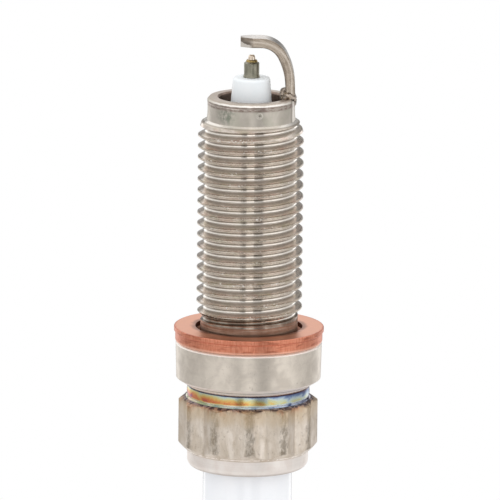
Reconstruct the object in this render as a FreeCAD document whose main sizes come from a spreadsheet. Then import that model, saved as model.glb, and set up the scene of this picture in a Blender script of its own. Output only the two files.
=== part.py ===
"""Spark plug: M12 x 1.25 long reach, flat seat, 14 mm bi-hexagon, projected fine tip.

Millimetres.  The plug stands on +Z with its firing end up.  The origin is on the axis,
in the outer face of the copper gasket: the plane that seats on the cylinder head.
"""
import FreeCAD, Part
import math
import os
import Sketcher

document = FreeCAD.newDocument("SparkPlug")
sheet = document.addObject("Spreadsheet::Sheet", "Sizes")


# ---------------------------------------------------------------- sizes and formulas

class Size:
    """A number kept together with the spreadsheet formula that gives it."""

    def __init__(self, value, formula):
        self.value = value
        self.formula = formula

    def __add__(self, other):
        other = as_size(other)
        return Size(self.value + other.value, f"({self.formula} + {other.formula})")

    def __sub__(self, other):
        other = as_size(other)
        return Size(self.value - other.value, f"({self.formula} - {other.formula})")

    def __mul__(self, other):
        other = as_size(other)
        return Size(self.value * other.value, f"({self.formula} * {other.formula})")

    def __truediv__(self, other):
        other = as_size(other)
        return Size(self.value / other.value, f"({self.formula} / {other.formula})")

    def __neg__(self):
        return Size(-self.value, f"(0 - {self.formula})")


def as_size(number):
    """Wrap a plain number, so that it can stand in a formula."""
    if isinstance(number, Size):
        return number
    return Size(float(number), str(float(number)))


def cosine(angle):
    return Size(math.cos(math.radians(angle.value)), f"cos({angle.formula} * 1 deg)")


def sine(angle):
    return Size(math.sin(math.radians(angle.value)), f"sin({angle.formula} * 1 deg)")


def tangent(angle):
    return Size(math.tan(math.radians(angle.value)), f"tan({angle.formula} * 1 deg)")


def size(alias, value, meaning):
    """Write one driving dimension into the next row of the sheet and return it."""
    size.row += 1
    sheet.set(f"A{size.row}", alias)
    sheet.set(f"B{size.row}", str(value))
    sheet.set(f"C{size.row}", meaning)
    sheet.setAlias(f"B{size.row}", alias)
    return Size(float(value), f"Sizes.{alias}")


size.row = 0

# Clearances between pieces.
sliding_gap = size("sliding_gap", 0.05, "radial gap of a piece that slides")
bore_gap = size("bore_gap", 0.1, "radial gap between the insulator and the shell")
seat_gap = size("seat_gap", 0.01, "gap between faces that are pressed or sealed together")
glass_gap = size("glass_gap", 0.02, "radial gap round the fillings of the insulator bore")

# Metal shell: nose and thread.
reach = size("reach", 26.0, "gasket face to shell rim")
nose_step = size("nose_step", 0.18, "nose inside the thread roots, radius")
nose_wall = size("nose_wall", 1.35, "wall at the rim")
nose_length = size("nose_length", 2.5, "rim to the first thread")
nose_waist_radius = size("nose_waist_radius", 9.6, "hollow of the nose wall, along the axis")
rim_rounding = size("rim_rounding", 0.22, "inner edge of the rim")
rim_bevel = size("rim_bevel", 0.3, "outer edge of the rim")
thread_crest_diameter = size("thread_crest_diameter", 11.75, "over the crests")
thread_depth = size("thread_depth", 0.77, "crests to roots")
thread_wall = size("thread_wall", 0.98, "roots to the bore")
thread_pitch = size("thread_pitch", 1.25, "right-hand")
thread_root_radius = size("thread_root_radius", 0.18, "rounding of the rolled root")
thread_flank_angle = size("thread_flank_angle", 30, "flank to the plane across the axis, degrees")
thread_tool_overhang = size("thread_tool_overhang", 0.07, "cutter above the crests")
lead_step = size("lead_step", 0.35, "first crest inside the full crests, radius")
lead_chamfer_height = size("lead_chamfer_height", 0.35, "steep chamfer of the first thread")
lead_taper_height = size("lead_taper_height", 1.25, "gentle taper up to the full crest")
relief_length = size("relief_length", 1.45, "gasket face to the end of the thread")
thread_run_out = size("thread_run_out", 0.71, "groove's end, below the end of the thread")

# Metal shell: shank, flange, groove, bi-hexagon, collar.
shank_step = size("shank_step", 0.45, "undercut shank inside the crests, radius")
flange_diameter = size("flange_diameter", 16.3, "band above the groove")
flange_draft = size("flange_draft", 0.1, "loss of radius down the band")
flange_height = size("flange_height", 4.1, "seat face to the lower corner")
flange_edge = size("flange_edge", 0.25, "chamfer of the seat face")
flange_bevel_height = size("flange_bevel_height", 0.85, "bevel down to the groove")
groove_length = size("groove_length", 1.4, "bevel to bi-hexagon")
groove_bulge_radius = size("groove_bulge_radius", 2.8, "buckled wall, along the axis")
hexagon_across_flats = size("hexagon_across_flats", 13.85, "nominal 14")
hexagon_corner_diameter = size("hexagon_corner_diameter", 15.5, "over the turned corners")
hexagon_shoulder_diameter = size("hexagon_shoulder_diameter", 13.9, "top of the upper chamfer")
hexagon_height = size("hexagon_height", 6.1, "groove to collar")
hexagon_upper_chamfer = size("hexagon_upper_chamfer", 0.42, "height")
hexagon_lower_chamfer = size("hexagon_lower_chamfer", 0.95, "height")
notch_clearance = size("notch_clearance", 0.6, "notch cutter beyond the corners")
notch_half_step = size("notch_half_step", 15, "valley to corner, degrees")
hexagon_turn = size("hexagon_turn", 16.7, "direction of one valley from +X, degrees")
collar_height = size("collar_height", 0.95, "straight part")
lip_drop = size("lip_drop", 0.9, "height of the rounded lip")
lip_curve_radius = size("lip_curve_radius", 0.9, "outside of the rolled lip")
lip_land = size("lip_land", 0.8, "flat end of the lip, beyond its bore")
lip_thickness = size("lip_thickness", 0.7, "wall of the lip at its bore")

# Metal shell: inside.
shell_wall = size("shell_wall", 1.1, "wall at the collar and the groove")
packing_space = size("packing_space", 0.9, "insulator neck to the shell, radius")
ledge_height = size("ledge_height", 12.4, "gasket face to the foot of the inner ledge")
ledge_cone_height = size("ledge_cone_height", 0.5, "conical seat of the insulator")
ledge_step = size("ledge_step", 0.85, "ledge inside the bore, radius")
ledge_land = size("ledge_land", 1.5, "length of the throat")
shoulder_depth = size("shoulder_depth", 4.3, "gasket face to the wide bore")

# Copper gasket.
gasket_thickness = size("gasket_thickness", 1.6, "new, not yet crushed")
gasket_diameter = size("gasket_diameter", 16.4, "wall")
gasket_lip = size("gasket_lip", 0.15, "upper edge, beyond the wall")
gasket_lip_height = size("gasket_lip_height", 0.45, "upper edge, along the axis")
gasket_face_gap = size("gasket_face_gap", 0.1, "upper bore, beyond the crests")
gasket_catch_gap = size("gasket_catch_gap", 0.2, "swaged bore, beyond the shank")
gasket_catch_height = size("gasket_catch_height", 0.7, "swaged part of the bore")
gasket_rounding = size("gasket_rounding", 0.1, "edges")

# Insulator.
insulator_projection = size("insulator_projection", 2.2, "rim to the end of the nose")
insulator_tip_diameter = size("insulator_tip_diameter", 4.1, "end of the nose")
insulator_tip_rounding = size("insulator_tip_rounding", 0.3, "edge of the nose")
insulator_nose_gap = size("insulator_nose_gap", 0.2, "root of the nose to the ledge, radius")
insulator_nose_length = size("insulator_nose_length", 12.7, "tapered part")
insulator_rear_diameter = size("insulator_rear_diameter", 9.9, "bare cylinder behind the collar")
insulator_neck_step = size("insulator_neck_step", 0.2, "inside the collar, radius")
insulator_neck_cone = size("insulator_neck_cone", 0.2, "height of the step out of the collar")
insulator_rear_end = size("insulator_rear_end", 44.5, "gasket face to the rear end")
insulator_rear_rounding = size("insulator_rear_rounding", 0.7, "edge of the rear end")
insulator_shoulder_gap = size("insulator_shoulder_gap", 0.3, "front shoulder to the shell")
insulator_shoulder_length = size("insulator_shoulder_length", 5.3, "widest part")
bore_step_height = size("bore_step_height", 8.8, "gasket face to the step in the bore")
bore_step_cone = size("bore_step_cone", 0.5, "height of the step")
washer_thickness = size("washer_thickness", 0.3, "lower packing washer, along the axis")
ring_wire = size("ring_wire", 0.8, "packing rings")

# Centre electrode.
stem_diameter = size("stem_diameter", 1.7, "nickel stem")
stem_gap = size("stem_gap", 0.03, "stem to the insulator, radius")
stem_wall = size("stem_wall", 0.4, "nickel round the copper core")
stem_flare = size("stem_flare", 0.1, "foot of the stem, beyond its wall")
stem_flare_height = size("stem_flare_height", 0.35, "foot of the stem")
stem_projection = size("stem_projection", 1.6, "insulator to the cone")
stem_cone_height = size("stem_cone_height", 0.15, "cone under the weld")
head_diameter = size("head_diameter", 2.8, "head on the bore step")
head_gap = size("head_gap", 0.15, "head to the insulator, radius")
head_length = size("head_length", 1.25, "cylindrical part")
key_diameter = size("key_diameter", 1.6, "stub held by the glass")
key_length = size("key_length", 0.8, "stub held by the glass")
core_depth = size("core_depth", 1.7, "end of the core below the insulator tip")
core_point = size("core_point", 0.4, "height of the core's pointed end")
tip_diameter = size("tip_diameter", 0.84, "precious-metal tip")
tip_embed = size("tip_embed", 0.35, "tip inside the stem")
tip_exposed = size("tip_exposed", 0.78, "tip above the stem cone")
tip_end_diameter = size("tip_end_diameter", 0.7, "before its edge is rounded")
tip_rounding = size("tip_rounding", 0.24, "edge of the end")
bead_foot = size("bead_foot", 0.23, "foot of the laser-weld bead, beyond the tip")
bead_height = size("bead_height", 0.25, "laser-weld bead")
bead_wall = size("bead_wall", 0.05, "top of the bead, beyond the tip")
bead_radius = size("bead_radius", 0.25, "outside of the bead")

# Ground electrode.
spark_gap = size("spark_gap", 0.88, "tip to pad")
strap_thickness = size("strap_thickness", 1.08, "foot to end")
strap_width = size("strap_width", 2.4, "across the bend")
strap_offset = size("strap_offset", 0.08, "foot outward of the middle of the rim")
strap_lean = size("strap_lean", 2, "leg toward the axis, degrees")
strap_leg = size("strap_leg", 1.5, "straight part above the rim, inner side")
strap_sweep = size("strap_sweep", 7.0, "gentle bend, inner side")
strap_bend = size("strap_bend", 2.15, "tight bend, inner side")
strap_overhang = size("strap_overhang", 1.26, "end beyond the axis")
strap_taper_start = size("strap_taper_start", 0.15, "axis to where the sides turn in")
strap_tip_width = size("strap_tip_width", 0.9, "end of the taper")
strap_edge = size("strap_edge", 0.14, "rounded long edges")
strap_core_wall = size("strap_core_wall", 0.22, "nickel round the copper core")
strap_core_side = size("strap_core_side", 0.55, "nickel beside the copper core")
strap_core_end = size("strap_core_end", 1.6, "solid nickel at the end")
pad_diameter = size("pad_diameter", 1.0, "precious-metal pad")
pad_thickness = size("pad_thickness", 0.25, "precious-metal pad")
pad_proud = size("pad_proud", 0.07, "pad below the strap")
weld_inner_margin = size("weld_inner_margin", 0.6, "upset metal inward of the foot")
weld_outer_margin = size("weld_outer_margin", 0.06, "upset metal outward of the foot")
weld_side_margin = size("weld_side_margin", 0.3, "upset metal beside the foot")
weld_height = size("weld_height", 0.95, "upset metal")
weld_top_margin = size("weld_top_margin", 0.12, "top of the upset metal, round the strap")

# Fillings of the insulator bore, terminal stud and nut.
lower_seal_length = size("lower_seal_length", 4.5, "glass behind the electrode")
resistor_length = size("resistor_length", 8.2, "between the glass seals")
upper_seal_length = size("upper_seal_length", 3.8, "glass round the stud end")
stud_gap = size("stud_gap", 0.1, "shaft to the insulator, radius")
stud_key_step = size("stud_key_step", 0.15, "knurled end inside the shaft, radius")
stud_key_length = size("stud_key_length", 2.1, "knurled end in the glass")
stud_collar_diameter = size("stud_collar_diameter", 5.2, "on the rear end")
stud_collar_height = size("stud_collar_height", 1.1, "on the rear end")
stud_thread_diameter = size("stud_thread_diameter", 3.9, "M4")
stud_thread_length = size("stud_thread_length", 6.8, "M4")
stud_chamfer = size("stud_chamfer", 0.22, "edges")
nut_diameter = size("nut_diameter", 6.35, "terminal")
nut_length = size("nut_length", 7.35, "terminal")
nut_base_height = size("nut_base_height", 1.6, "ring beside the insulator")
nut_head_height = size("nut_head_height", 3.3, "gripped by the cap")
nut_neck_wall = size("nut_neck_wall", 0.5, "waist")
nut_neck_slope = size("nut_neck_slope", 0.5, "height of each side of the waist")
nut_rounding = size("nut_rounding", 0.55, "free end")
nut_chamfer = size("nut_chamfer", 0.22, "mouths of the bore and edge of the base")

half = 0.5

# Stations along the axis.
gasket_base = -gasket_thickness
flange_face = gasket_base - sliding_gap
flange_base = flange_face - flange_height
groove_top = flange_base - flange_bevel_height
groove_base = groove_top - groove_length
hexagon_base = groove_base - hexagon_height
collar_base = hexagon_base - collar_height
lip_base = collar_base - lip_drop
thread_top = reach - nose_length
insulator_tip = reach + insulator_projection
stem_top = insulator_tip + stem_projection
cone_top = stem_top + stem_cone_height
tip_base = cone_top - tip_embed
tip_top = cone_top + tip_exposed
pad_face = tip_top + spark_gap
strap_underside = pad_face + pad_proud
strap_top = strap_underside + strap_thickness
terminal_seat = -insulator_rear_end

# Radii that pieces share.
crest_radius = thread_crest_diameter * half
root_radius = crest_radius - thread_depth
nose_radius = root_radius - nose_step
mouth_radius = nose_radius - nose_wall
shank_radius = crest_radius - shank_step
mid_bore_radius = root_radius - thread_wall
body_radius = mid_bore_radius - bore_gap
ledge_radius = mid_bore_radius - ledge_step
nose_root_radius = ledge_radius - insulator_nose_gap
rear_radius = insulator_rear_diameter * half
neck_radius = rear_radius - insulator_neck_step
wide_bore_radius = neck_radius + packing_space
shoulder_radius = wide_bore_radius - bore_gap
collar_radius = wide_bore_radius + shell_wall
stem_radius = stem_diameter * half
front_bore_radius = stem_radius + stem_gap
core_radius = stem_radius - stem_wall
head_radius = head_diameter * half
rear_bore_radius = head_radius + head_gap
key_radius = key_diameter * half
tip_radius = tip_diameter * half
cone_top_radius = tip_radius + bead_foot
filling_radius = rear_bore_radius - glass_gap
stud_radius = rear_bore_radius - stud_gap
stud_key_radius = stud_radius - stud_key_step


# ---------------------------------------------------------------- drawing helpers

def origin_plane(body, role):
    """The body's own origin plane with this role, such as XZ_Plane."""
    return next(item for item in body.Origin.OriginFeatures if item.Role == role)


def add_sketch(body, name, role="XZ_Plane", height=None, turn=None):
    """A sketch on one of the body's origin planes, lifted or turned about +Z if asked."""
    sketch = body.newObject("Sketcher::SketchObject", name)
    sketch.AttachmentSupport = [(origin_plane(body, role), "")]
    sketch.MapMode = "FlatFace"
    if turn is not None:
        spin = FreeCAD.Rotation(FreeCAD.Vector(0, 0, 1), turn.value)
        sketch.AttachmentOffset = FreeCAD.Placement(FreeCAD.Vector(0, 0, 0), spin)
        sketch.setExpression("AttachmentOffset.Rotation.Angle", turn.formula + " * 1 deg")
    if height is not None:
        sketch.setExpression("AttachmentOffset.Base.z", height.formula)
    return sketch


def arc_between(start, end, radius):
    """Short arc from start to end; a positive radius turns left, a negative one right."""
    chord = end - start
    middle = (start + end) * half
    left = FreeCAD.Vector(-chord.y, chord.x, 0).normalize()
    rise = math.sqrt(radius * radius - chord.Length * chord.Length / 4)
    centre = middle + left * math.copysign(rise, radius)
    first, last = (start, end) if radius > 0 else (end, start)
    circle = Part.Circle(centre, FreeCAD.Vector(0, 0, 1), abs(radius))
    first_angle = math.atan2(first.y - centre.y, first.x - centre.x)
    last_angle = math.atan2(last.y - centre.y, last.x - centre.x)
    return Part.ArcOfCircle(circle, first_angle, last_angle)


def draw_outline(sketch, corners):
    """Close a loop through corners (across, up), each bound to its formulas.

    A third entry makes the edge that follows an arc of that radius: see arc_between.
    """
    corners = [tuple(as_size(entry) for entry in corner) for corner in corners]
    points = [FreeCAD.Vector(corner[0].value, corner[1].value, 0) for corner in corners]
    starts = []
    ends = []
    for index, corner in enumerate(corners):
        start = points[index]
        end = points[(index + 1) % len(points)]
        if len(corner) == 3:
            sketch.addGeometry(arc_between(start, end, corner[2].value), False)
            forward = corner[2].value > 0
            bind(sketch, "Radius", [index], f"curve{index}", abs_size(corner[2]))
        else:
            sketch.addGeometry(Part.LineSegment(start, end), False)
            forward = True
        starts.append(1 if forward else 2)
        ends.append(2 if forward else 1)
    for index in range(len(corners)):
        following = (index + 1) % len(corners)
        joint = Sketcher.Constraint("Coincident", index, ends[index], following, starts[following])
        sketch.addConstraint(joint)
    for index, corner in enumerate(corners):
        place_point(sketch, index, starts[index], corner[0], corner[1], f"{index}")


def abs_size(value):
    return value if value.value > 0 else -value


def bind(sketch, kind, target, name, value):
    """Add a named dimension to a sketch and tie it to a formula."""
    number = value.value
    if kind == "Angle":
        number = math.radians(number)
    sketch.addConstraint(Sketcher.Constraint(kind, *target, number))
    sketch.renameConstraint(sketch.ConstraintCount - 1, name)
    unit = " * 1 deg" if kind == "Angle" else ""
    sketch.setExpression(f"Constraints.{name}", value.formula + unit)


def place_point(sketch, edge, end, across, up, name):
    """Fix one end of an edge at (across, up) from the sketch origin."""
    axes = (("DistanceX", across, -2, "across"), ("DistanceY", up, -1, "up"))
    for kind, value, axis, word in axes:
        if value.value == 0:
            sketch.addConstraint(Sketcher.Constraint("PointOnObject", edge, end, axis))
        else:
            bind(sketch, kind, [edge, end], word + name, value)


def new_body(label):
    """A body whose label names the sub-part."""
    body = document.addObject("PartDesign::Body", label)
    body.Label = label
    body.Placement = FreeCAD.Placement()
    return body


def revolve(body, kind, name, corners):
    """Turn an outline (radius, height) once round the axis, to add or to cut."""
    sketch = add_sketch(body, name + "_outline")
    draw_outline(sketch, corners)
    feature = body.newObject("PartDesign::" + kind, name)
    feature.Profile = sketch
    feature.ReferenceAxis = (sketch, ["V_Axis"])
    feature.Angle = 360
    document.recompute()
    return feature


def turned_body(label, corners, height=None):
    """A sub-part made by turning one outline, placed at a height along the axis."""
    body = new_body(label)
    if height is not None:
        body.setExpression("Placement.Base.z", height.formula)
    revolve(body, "Revolution", label + "_turning", corners)
    return body


def circles_at(shape, rings):
    """Names of the circular edges with the given (radius, height) pairs."""
    near = 0.001
    names = []
    for number, edge in enumerate(shape.Edges, start=1):
        if not isinstance(edge.Curve, Part.Circle):
            continue
        for radius, height in rings:
            radius_fits = abs(edge.Curve.Radius - radius.value) < near
            if radius_fits and abs(edge.Curve.Center.z - as_size(height).value) < near:
                names.append(f"Edge{number}")
    return names


def dress(body, kind, name, edges, value):
    """Round ("Fillet") or bevel ("Chamfer") named edges of the body's last feature."""
    base = body.Tip
    feature = body.newObject("PartDesign::" + kind, name)
    feature.Base = (base, edges)
    feature.setExpression("Radius" if kind == "Fillet" else "Size", value.formula)
    document.recompute()
    return feature


def dress_rings(body, kind, name, rings, value):
    """Round or bevel whole circular edges, given as (radius, height) pairs."""
    return dress(body, kind, name, circles_at(body.Tip.Shape, rings), value)


# ---------------------------------------------------------------- metal shell

lip_bore_radius = rear_radius + bore_gap
lip_outer_radius = lip_bore_radius + lip_land
lip_inside = lip_base + lip_thickness
ledge_throat = ledge_height + ledge_cone_height
ledge_top = ledge_throat + ledge_land
shoulder_step = wide_bore_radius - mid_bore_radius


def shell_outside():
    """Outline from the rim down to the rolled lip."""
    lead_radius = crest_radius - lead_step
    lead_base = thread_top - lead_chamfer_height
    thread_chamfer = crest_radius - shank_radius
    flange_radius = flange_diameter * half
    corner_radius = hexagon_corner_diameter * half
    return [
        (nose_radius, reach, nose_waist_radius),
        (nose_radius, thread_top),
        (lead_radius, lead_base),
        (crest_radius, lead_base - lead_taper_height),
        (crest_radius, relief_length + thread_chamfer),
        (shank_radius, relief_length),
        (shank_radius, flange_face),
        (flange_radius - flange_edge, flange_face),
        (flange_radius, flange_face - flange_edge),
        (flange_radius - flange_draft, flange_base),
        (collar_radius, groove_top, -groove_bulge_radius),
        (collar_radius, groove_base),
        (hexagon_shoulder_diameter * half, groove_base),
        (corner_radius, groove_base - hexagon_upper_chamfer),
        (corner_radius, hexagon_base + hexagon_lower_chamfer),
        (collar_radius, hexagon_base),
        (collar_radius, collar_base, -lip_curve_radius),
        (lip_outer_radius, lip_base),
    ]


def shell_inside():
    """Outline from the rolled lip up to the rim."""
    return [
        (lip_bore_radius, lip_base),
        (lip_bore_radius, lip_inside),
        (wide_bore_radius, lip_inside + wide_bore_radius - lip_bore_radius),
        (wide_bore_radius, -shoulder_depth),
        (mid_bore_radius, -shoulder_depth + shoulder_step),
        (mid_bore_radius, ledge_height),
        (ledge_radius, ledge_throat),
        (ledge_radius, ledge_top),
        (mouth_radius, ledge_top + mouth_radius - ledge_radius),
        (mouth_radius, reach),
    ]


def cut_thread(body):
    """Cut the helical groove between the crests; it runs out into the shank at the back."""
    tool_radius = crest_radius + thread_tool_overhang
    # The round root touches each flank at this radius, this far from the groove's middle.
    touch_radius = root_radius + thread_root_radius * (as_size(1) - sine(thread_flank_angle))
    touch_half = thread_root_radius * cosine(thread_flank_angle)
    tool_half = touch_half + (tool_radius - touch_radius) * tangent(thread_flank_angle)
    tool_middle = relief_length - thread_run_out
    tool_height = thread_top + thread_pitch * half - tool_middle
    sketch = add_sketch(body, "thread_groove_outline", "YZ_Plane")
    draw_outline(sketch, [
        (touch_radius, tool_middle - touch_half),
        (tool_radius, tool_middle - tool_half),
        (tool_radius, tool_middle + tool_half),
        (touch_radius, tool_middle + touch_half, thread_root_radius),
    ])
    groove = body.newObject("PartDesign::SubtractiveHelix", "thread_groove")
    groove.Profile = sketch
    groove.ReferenceAxis = (sketch, ["V_Axis"])
    groove.Mode = "pitch-height-angle"
    groove.setExpression("Pitch", thread_pitch.formula)
    groove.setExpression("Height", tool_height.formula)
    groove.Angle = 0
    groove.LeftHanded = False
    groove.Reversed = False
    document.recompute()


def cut_hexagons(body):
    """Cut twelve equal notches, which leave two crossed hexagons."""
    flat_distance = hexagon_across_flats * half
    inner_radius = flat_distance / cosine(notch_half_step)
    flat_run = flat_distance * (tangent(notch_half_step * 2) - tangent(notch_half_step))
    notch_rise = flat_run * cosine(notch_half_step)
    notch_reach = inner_radius + notch_rise * tangent(notch_half_step)
    outside = hexagon_corner_diameter * half + notch_clearance
    start = (groove_top + groove_base) * half
    sketch = add_sketch(body, "notch_outline", "XY_Plane", start, hexagon_turn)
    draw_outline(sketch, [
        (inner_radius, 0),
        (notch_reach, notch_rise),
        (outside, notch_rise),
        (outside, -notch_rise),
        (notch_reach, -notch_rise),
    ])
    notch = body.newObject("PartDesign::Pocket", "notch")
    notch.Profile = sketch
    notch.setExpression("Length", (start - hexagon_base).formula)
    document.recompute()
    turns = body.newObject("PartDesign::PolarPattern", "notches")
    turns.Originals = [notch]
    turns.Axis = (sketch, ["N_Axis"])
    turns.Angle = 360
    turns.Occurrences = 12
    body.Tip = turns
    document.recompute()


def make_metal_shell():
    body = turned_body("metal_shell", shell_outside() + shell_inside())
    before = body.Shape.Volume
    cut_hexagons(body)
    dress_rings(body, "Fillet", "rim_inner_edge", [(mouth_radius, reach)], rim_rounding)
    dress_rings(body, "Chamfer", "rim_outer_edge", [(nose_radius, reach)], rim_bevel)
    cut_thread(body)
    if not body.Shape.Volume < before:
        raise RuntimeError("metal_shell: the thread and the bi-hexagon cut nothing")
    return body


# ---------------------------------------------------------------- gasket

def make_sealing_gasket():
    """Solid copper ring; its swaged lower bore keeps it on the undercut shank."""
    wall = gasket_diameter * half
    lip = wall + gasket_lip
    face_bore = crest_radius + gasket_face_gap
    catch_bore = shank_radius + gasket_catch_gap
    catch_top = gasket_base + gasket_catch_height
    body = turned_body("sealing_gasket", [
        (face_bore, 0),
        (lip, 0),
        (lip, -gasket_lip_height),
        (wall, -gasket_lip_height - gasket_lip),
        (wall, gasket_base),
        (catch_bore, gasket_base),
        (catch_bore, catch_top),
        (face_bore, catch_top + face_bore - catch_bore),
    ])
    dress_rings(body, "Fillet", "gasket_edges",
                [(lip, 0), (wall, gasket_base)], gasket_rounding)
    return body


# ---------------------------------------------------------------- insulator

ledge_slope = ledge_cone_height / (mid_bore_radius - ledge_radius)
step_foot = ledge_height - washer_thickness + ledge_slope * bore_gap
step_head = step_foot + ledge_slope * (body_radius - nose_root_radius)
shoulder_front = -shoulder_depth - insulator_shoulder_gap
shoulder_rear = shoulder_front - insulator_shoulder_length


def make_insulator():
    """One ceramic body: nose, seat step, shoulder and bare rear cylinder, with its bore."""
    tip = insulator_tip_diameter * half
    body = turned_body("insulator", [
        (front_bore_radius, insulator_tip),
        (tip, insulator_tip),
        (nose_root_radius, insulator_tip - insulator_nose_length),
        (nose_root_radius, step_head),
        (body_radius, step_foot),
        (body_radius, shoulder_front + shoulder_radius - body_radius),
        (shoulder_radius, shoulder_front),
        (shoulder_radius, shoulder_rear),
        (neck_radius, shoulder_rear - shoulder_radius + neck_radius),
        (neck_radius, lip_base + insulator_neck_cone),
        (rear_radius, lip_base),
        (rear_radius, terminal_seat),
        (rear_bore_radius, terminal_seat),
        (rear_bore_radius, bore_step_height),
        (front_bore_radius, bore_step_height + bore_step_cone),
    ])
    dress_rings(body, "Fillet", "nose_edge", [(tip, insulator_tip)], insulator_tip_rounding)
    dress_rings(body, "Fillet", "rear_edge", [(rear_radius, terminal_seat)],
                insulator_rear_rounding)
    return body


# ---------------------------------------------------------------- packing behind and ahead

def make_lower_packing_washer():
    """Conical steel washer between the insulator step and the shell ledge."""
    inner = ledge_radius + sliding_gap
    outer = body_radius - sliding_gap
    return turned_body("lower_packing_washer", [
        (outer, step_foot + ledge_slope * (body_radius - outer) + seat_gap),
        (inner, step_foot + ledge_slope * (body_radius - inner) + seat_gap),
        (inner, ledge_height + ledge_slope * (mid_bore_radius - inner) - seat_gap),
        (outer, ledge_height + ledge_slope * (mid_bore_radius - outer) - seat_gap),
    ])


ring_radius = ring_wire * half
ring_circle = (neck_radius + wide_bore_radius) * half
# Each ring rests on a cone at 45 degrees: the rear shoulder, and the inside of the lip.
cone_rise = (ring_radius + seat_gap) * math.sqrt(2)
lower_ring_height = shoulder_rear - (shoulder_radius - ring_circle) - cone_rise
upper_ring_height = lip_inside + (ring_circle - lip_bore_radius) + cone_rise


def make_packing_ring(label, height):
    """A wire ring between the insulator and the shell."""
    body = new_body(label)
    body.setExpression("Placement.Base.z", height.formula)
    sketch = add_sketch(body, label + "_wire")
    circle = Part.Circle(FreeCAD.Vector(ring_circle.value, 0, 0), FreeCAD.Vector(0, 0, 1),
                         ring_radius.value)
    sketch.addGeometry(circle, False)
    bind(sketch, "Radius", [0], "wire", ring_radius)
    place_point(sketch, 0, 3, ring_circle, as_size(0), "0")
    turn = body.newObject("PartDesign::Revolution", label + "_turning")
    turn.Profile = sketch
    turn.ReferenceAxis = (sketch, ["V_Axis"])
    turn.Angle = 360
    document.recompute()
    return body


def make_talc_filling():
    """Pressed powder between the two packing rings."""
    inner = neck_radius + seat_gap
    outer = wide_bore_radius - seat_gap
    return turned_body("talc_filling", [
        (inner, lower_ring_height - ring_radius - seat_gap),
        (outer, lower_ring_height - ring_radius - seat_gap),
        (outer, upper_ring_height + ring_radius + seat_gap),
        (inner, upper_ring_height + ring_radius + seat_gap),
    ])


# ---------------------------------------------------------------- centre electrode

head_top = bore_step_height + sliding_gap
head_base = head_top - head_length
key_base = head_base - key_length
head_cone = bore_step_cone / (rear_bore_radius - front_bore_radius)
core_top = insulator_tip - core_depth
tip_hole_radius = tip_radius + seat_gap
core_shoulder = core_top - core_point


def make_center_electrode():
    """Nickel-alloy stem with its head and key, hollow for the copper core and the tip."""
    return turned_body("center_electrode", [
        (0, core_top),
        (core_radius, core_shoulder),
        (core_radius, key_base),
        (key_radius, key_base),
        (key_radius, head_base),
        (head_radius, head_base),
        (head_radius, head_top),
        (stem_radius, head_top + head_cone * (head_radius - stem_radius)),
        (stem_radius, insulator_tip + sliding_gap),
        (stem_radius + stem_flare, insulator_tip + sliding_gap),
        (stem_radius, insulator_tip + stem_flare_height),
        (stem_radius, stem_top),
        (cone_top_radius, cone_top),
        (tip_hole_radius, cone_top),
        (tip_hole_radius, tip_base),
        (0, tip_base),
    ])


def make_center_electrode_core():
    return turned_body("center_electrode_core", [
        (0, key_base),
        (core_radius, key_base),
        (core_radius, core_shoulder),
        (0, core_top),
    ])


def make_center_electrode_tip():
    """Slightly tapered precious-metal pin with a rounded end."""
    end = tip_end_diameter * half
    body = turned_body("center_electrode_tip", [
        (0, tip_base),
        (tip_radius, tip_base),
        (tip_radius, cone_top + bead_height),
        (end, tip_top),
        (0, tip_top),
    ])
    dress_rings(body, "Fillet", "tip_edge", [(end, tip_top)], tip_rounding)
    return body


def make_center_tip_weld():
    """Laser-weld bead that closes the joint of stem and tip."""
    return turned_body("center_tip_weld", [
        (tip_hole_radius, cone_top),
        (cone_top_radius, cone_top, bead_radius),
        (tip_hole_radius + bead_wall, cone_top + bead_height),
        (tip_hole_radius, cone_top + bead_height),
    ])


# ---------------------------------------------------------------- ground electrode

foot_middle = (mouth_radius + nose_radius) * half + strap_offset
foot_inner = foot_middle - strap_thickness * half
foot_outer = foot_middle + strap_thickness * half


class StrapSide:
    """One long side of the bent strap: a leaning line, a gentle bend and a tight bend."""

    def __init__(self, foot, leg, sweep, bend, level):
        self.foot = foot
        self.leg = leg
        self.sweep = sweep
        self.bend = bend
        self.level = level

    def offset(self, distance):
        """The same side moved outward from the bend's centre, or inward if negative."""
        return StrapSide(self.foot + distance / cosine(strap_lean),
                         self.leg + distance * tangent(strap_lean),
                         self.sweep + distance, self.bend + distance,
                         self.level + distance)

    def curves(self):
        """Line and two arcs, near enough for the sketch's constraints to settle."""
        lean = math.radians(strap_lean.value)
        sweep = self.sweep.value
        bend = self.bend.value
        foot = FreeCAD.Vector(self.foot.value, reach.value, 0)
        knee = foot + FreeCAD.Vector(-math.sin(lean), math.cos(lean), 0) * self.leg.value
        rise = self.level.value - knee.y + sweep * math.sin(lean) - bend
        turned = math.asin(rise / (sweep - bend))
        out = FreeCAD.Vector(math.cos(lean), math.sin(lean), 0)
        sweep_centre = knee - out * sweep
        join = FreeCAD.Vector(math.cos(turned), math.sin(turned), 0)
        bend_centre = sweep_centre + join * (sweep - bend)
        up = FreeCAD.Vector(0, 0, 1)
        top = bend_centre + FreeCAD.Vector(0, bend, 0)
        arcs = [Part.ArcOfCircle(Part.Circle(sweep_centre, up, sweep), lean, turned),
                Part.ArcOfCircle(Part.Circle(bend_centre, up, bend), turned, math.pi * half)]
        return foot, knee, arcs, top


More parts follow.
